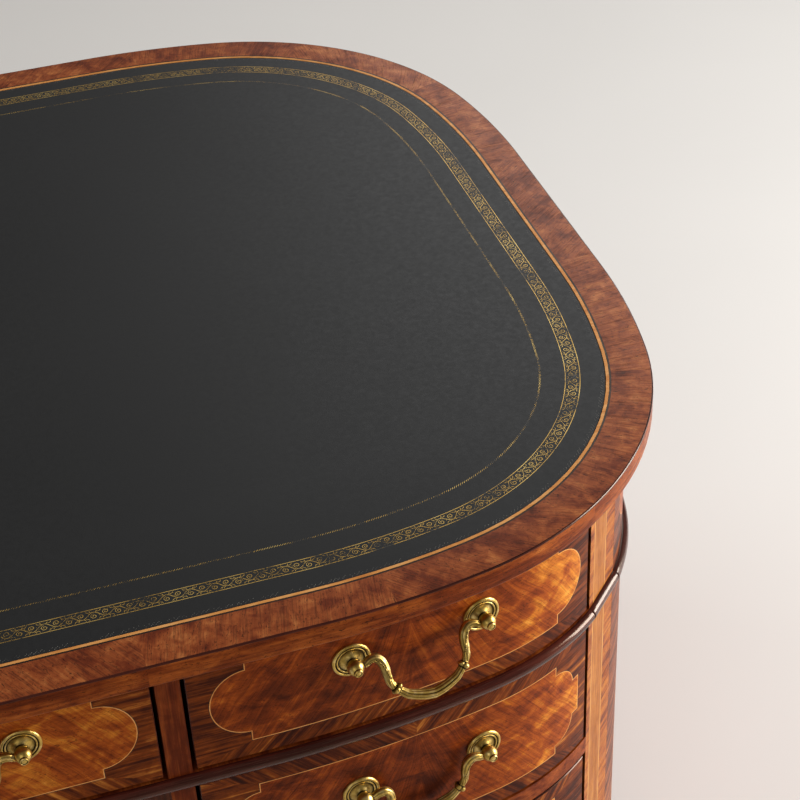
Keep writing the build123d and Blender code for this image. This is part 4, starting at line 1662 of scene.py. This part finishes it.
def make_pulls():
    """The pulls: rosettes and posts fixed to each drawer, and the bails that turn on them."""
    for name in drawer_names:
        low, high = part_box(name + "_front")
        posts_low, posts_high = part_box(name + "_pull_posts")
        height = (posts_low.z + posts_high.z) / 2
        if name == "frieze_centre":
            mids = (low.x - front_gap + centre_pull_inset, high.x + front_gap - centre_pull_inset)
        else:
            middle = (low.x + high.x) / 2
            mids = (middle + side_pull_offset * (1 if middle > 0 else -1),)
        surface = Surface()
        balls = []
        for mid in mids:
            balls.append([add_post(surface, mid + side * pull_span / 2, height) for side in (-1, 1)])
        piece = surface.build(name + "_rosettes", [brass])
        settle(piece, name + "_drawer", "antique_brass", name + "_pull_posts")
        for index, (low_ball, high_ball) in enumerate(balls):
            suffix = f"_{index + 1}" if len(balls) > 1 else ""
            lift = radians(lifted_bail_angle) if name == "frieze_right" else 0.0
            make_bail(
                f"{name}_swan_bail{suffix}",
                f"{name}_handle{suffix}",
                low_ball,
                high_ball,
                lift,
                [f"{name}_bail{suffix}"],
            )


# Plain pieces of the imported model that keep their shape

def dress_nodes():
    """Gives each solid that is shown as it is packed its own finish."""
    dressed = [
        (cross_lining, ["top_panel"]),
        (top_string, ["top_stringing"]),
        (satin, ["frieze_pilasters", "pedestal_pilasters_right", "pedestal_pilasters_left"]),
        (post_wood, ["frieze_stiles", "pedestal_stiles"]),
        (rail_wood, ["pedestal_rails_right", "pedestal_rails_left"]),
        (side_wood, ["frieze_partitions", "frieze_dust_board", "pedestal_dust_boards", "pedestal_bottoms"]),
        (upright, ["pedestal_inner_side_right", "pedestal_inner_side_left", "modesty_panel"]),
        (base, ["plinth_right", "plinth_left", "base_mouldings"]),
        (long_lining, ["drawer_runners", "drawer_kickers"]),
        (long_lining, [name + "_box" for name in drawer_names]),
    ]
    for finish, names in dressed:
        for name in names:
            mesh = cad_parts[name].data
            mesh.materials.clear()
            mesh.materials.append(finish)


# Light, floor and camera

floor_half = 14.0
floor_cloud = 0.7


def make_floor():
    """A plain pale floor that keeps the desk's shadow."""
    material, tree, shader = new_material("plain_pale_floor", Roughness=0.75)
    cloud = figure(tree, add(tree, "TexCoord", output="Object"), [floor_cloud] * 3)
    inputs = {0: cloud, 6: colour("#D9D5D0"), 7: colour("#DFDBD6")}
    feed(tree, shader, Base_Color=add(tree, "Mix", inputs, 2, data_type="RGBA"))
    mesh = bpy.data.meshes.new("floor")
    signs = ((-1, -1), (1, -1), (1, 1), (-1, 1))
    corners = [(x_sign * floor_half, y_sign * floor_half, 0.0) for x_sign, y_sign in signs]
    mesh.from_pydata(corners, [], [(0, 1, 2, 3)])
    mesh.materials.append(material)
    floor_object = bpy.data.objects.new("floor", mesh)
    bpy.context.scene.collection.objects.link(floor_object)


# Place, point looked at, size and strength of each soft lamp
lamps = {
    "window_right": ((4.4, -0.8, 1.6), (0.7, -0.2, 1.4), 2.2, 300.0),
    "back_soft": ((2.4, 3.0, 2.7), (0.5, 0.1, 0.775), 1.8, 30.0),
    "left_fill": ((-3.6, 1.9, 3.0), (-0.6, 0.1, 0.5), 2.6, 75.0),
    "front_fill": ((-1.6, -4.2, 2.6), (-0.3, -0.3, 0.4), 2.6, 22.0),
}
world_light = 0.19


def make_light():
    """A large soft window at the right, weak fills round the room and a pale, even world."""
    for name, (place, target, size, power) in lamps.items():
        data = bpy.data.lights.new(name, "AREA")
        data.shape = "SQUARE"
        data.size = size
        data.energy = power
        lamp = bpy.data.objects.new(name, data)
        lamp.location = place
        lamp.rotation_euler = (Vector(target) - Vector(place)).to_track_quat("-Z", "Y").to_euler()
        bpy.context.scene.collection.objects.link(lamp)
    world = bpy.data.worlds.new("soft_studio")
    bpy.context.scene.world = world
    world.use_nodes = True
    tree = world.node_tree
    tree.nodes.clear()
    pale = add(tree, "Background", [colour("#F7F6F4"), world_light])
    add(tree, "OutputWorld", [pale])


def make_camera():
    """The camera that the photograph was taken from."""
    forward = Vector((
        sin(camera_yaw) * cos(camera_pitch),
        cos(camera_yaw) * cos(camera_pitch),
        -sin(camera_pitch),
    ))
    right = Vector((cos(camera_yaw), -sin(camera_yaw), 0.0))
    up = right.cross(forward)
    rolled_right = right * cos(camera_roll) + up * sin(camera_roll)
    rolled_up = up * cos(camera_roll) - right * sin(camera_roll)
    data = bpy.data.cameras.new("camera")
    data.sensor_width = sensor_width
    data.lens = camera_lens
    camera = bpy.data.objects.new("camera", data)
    turn = Matrix((rolled_right, rolled_up, -forward)).transposed().to_4x4()
    camera.matrix_world = Matrix.Translation(camera_place) @ turn
    bpy.context.scene.collection.objects.link(camera)
    bpy.context.scene.camera = camera


make_camera()
make_crossband()
make_leather()
make_scrolls()
make_rope()
make_ticks()
make_waist_bead()
make_fronts()
make_walls()
make_pulls()
dress_nodes()
make_floor()
make_light()
bpy.context.scene.view_settings.view_transform = "Standard"
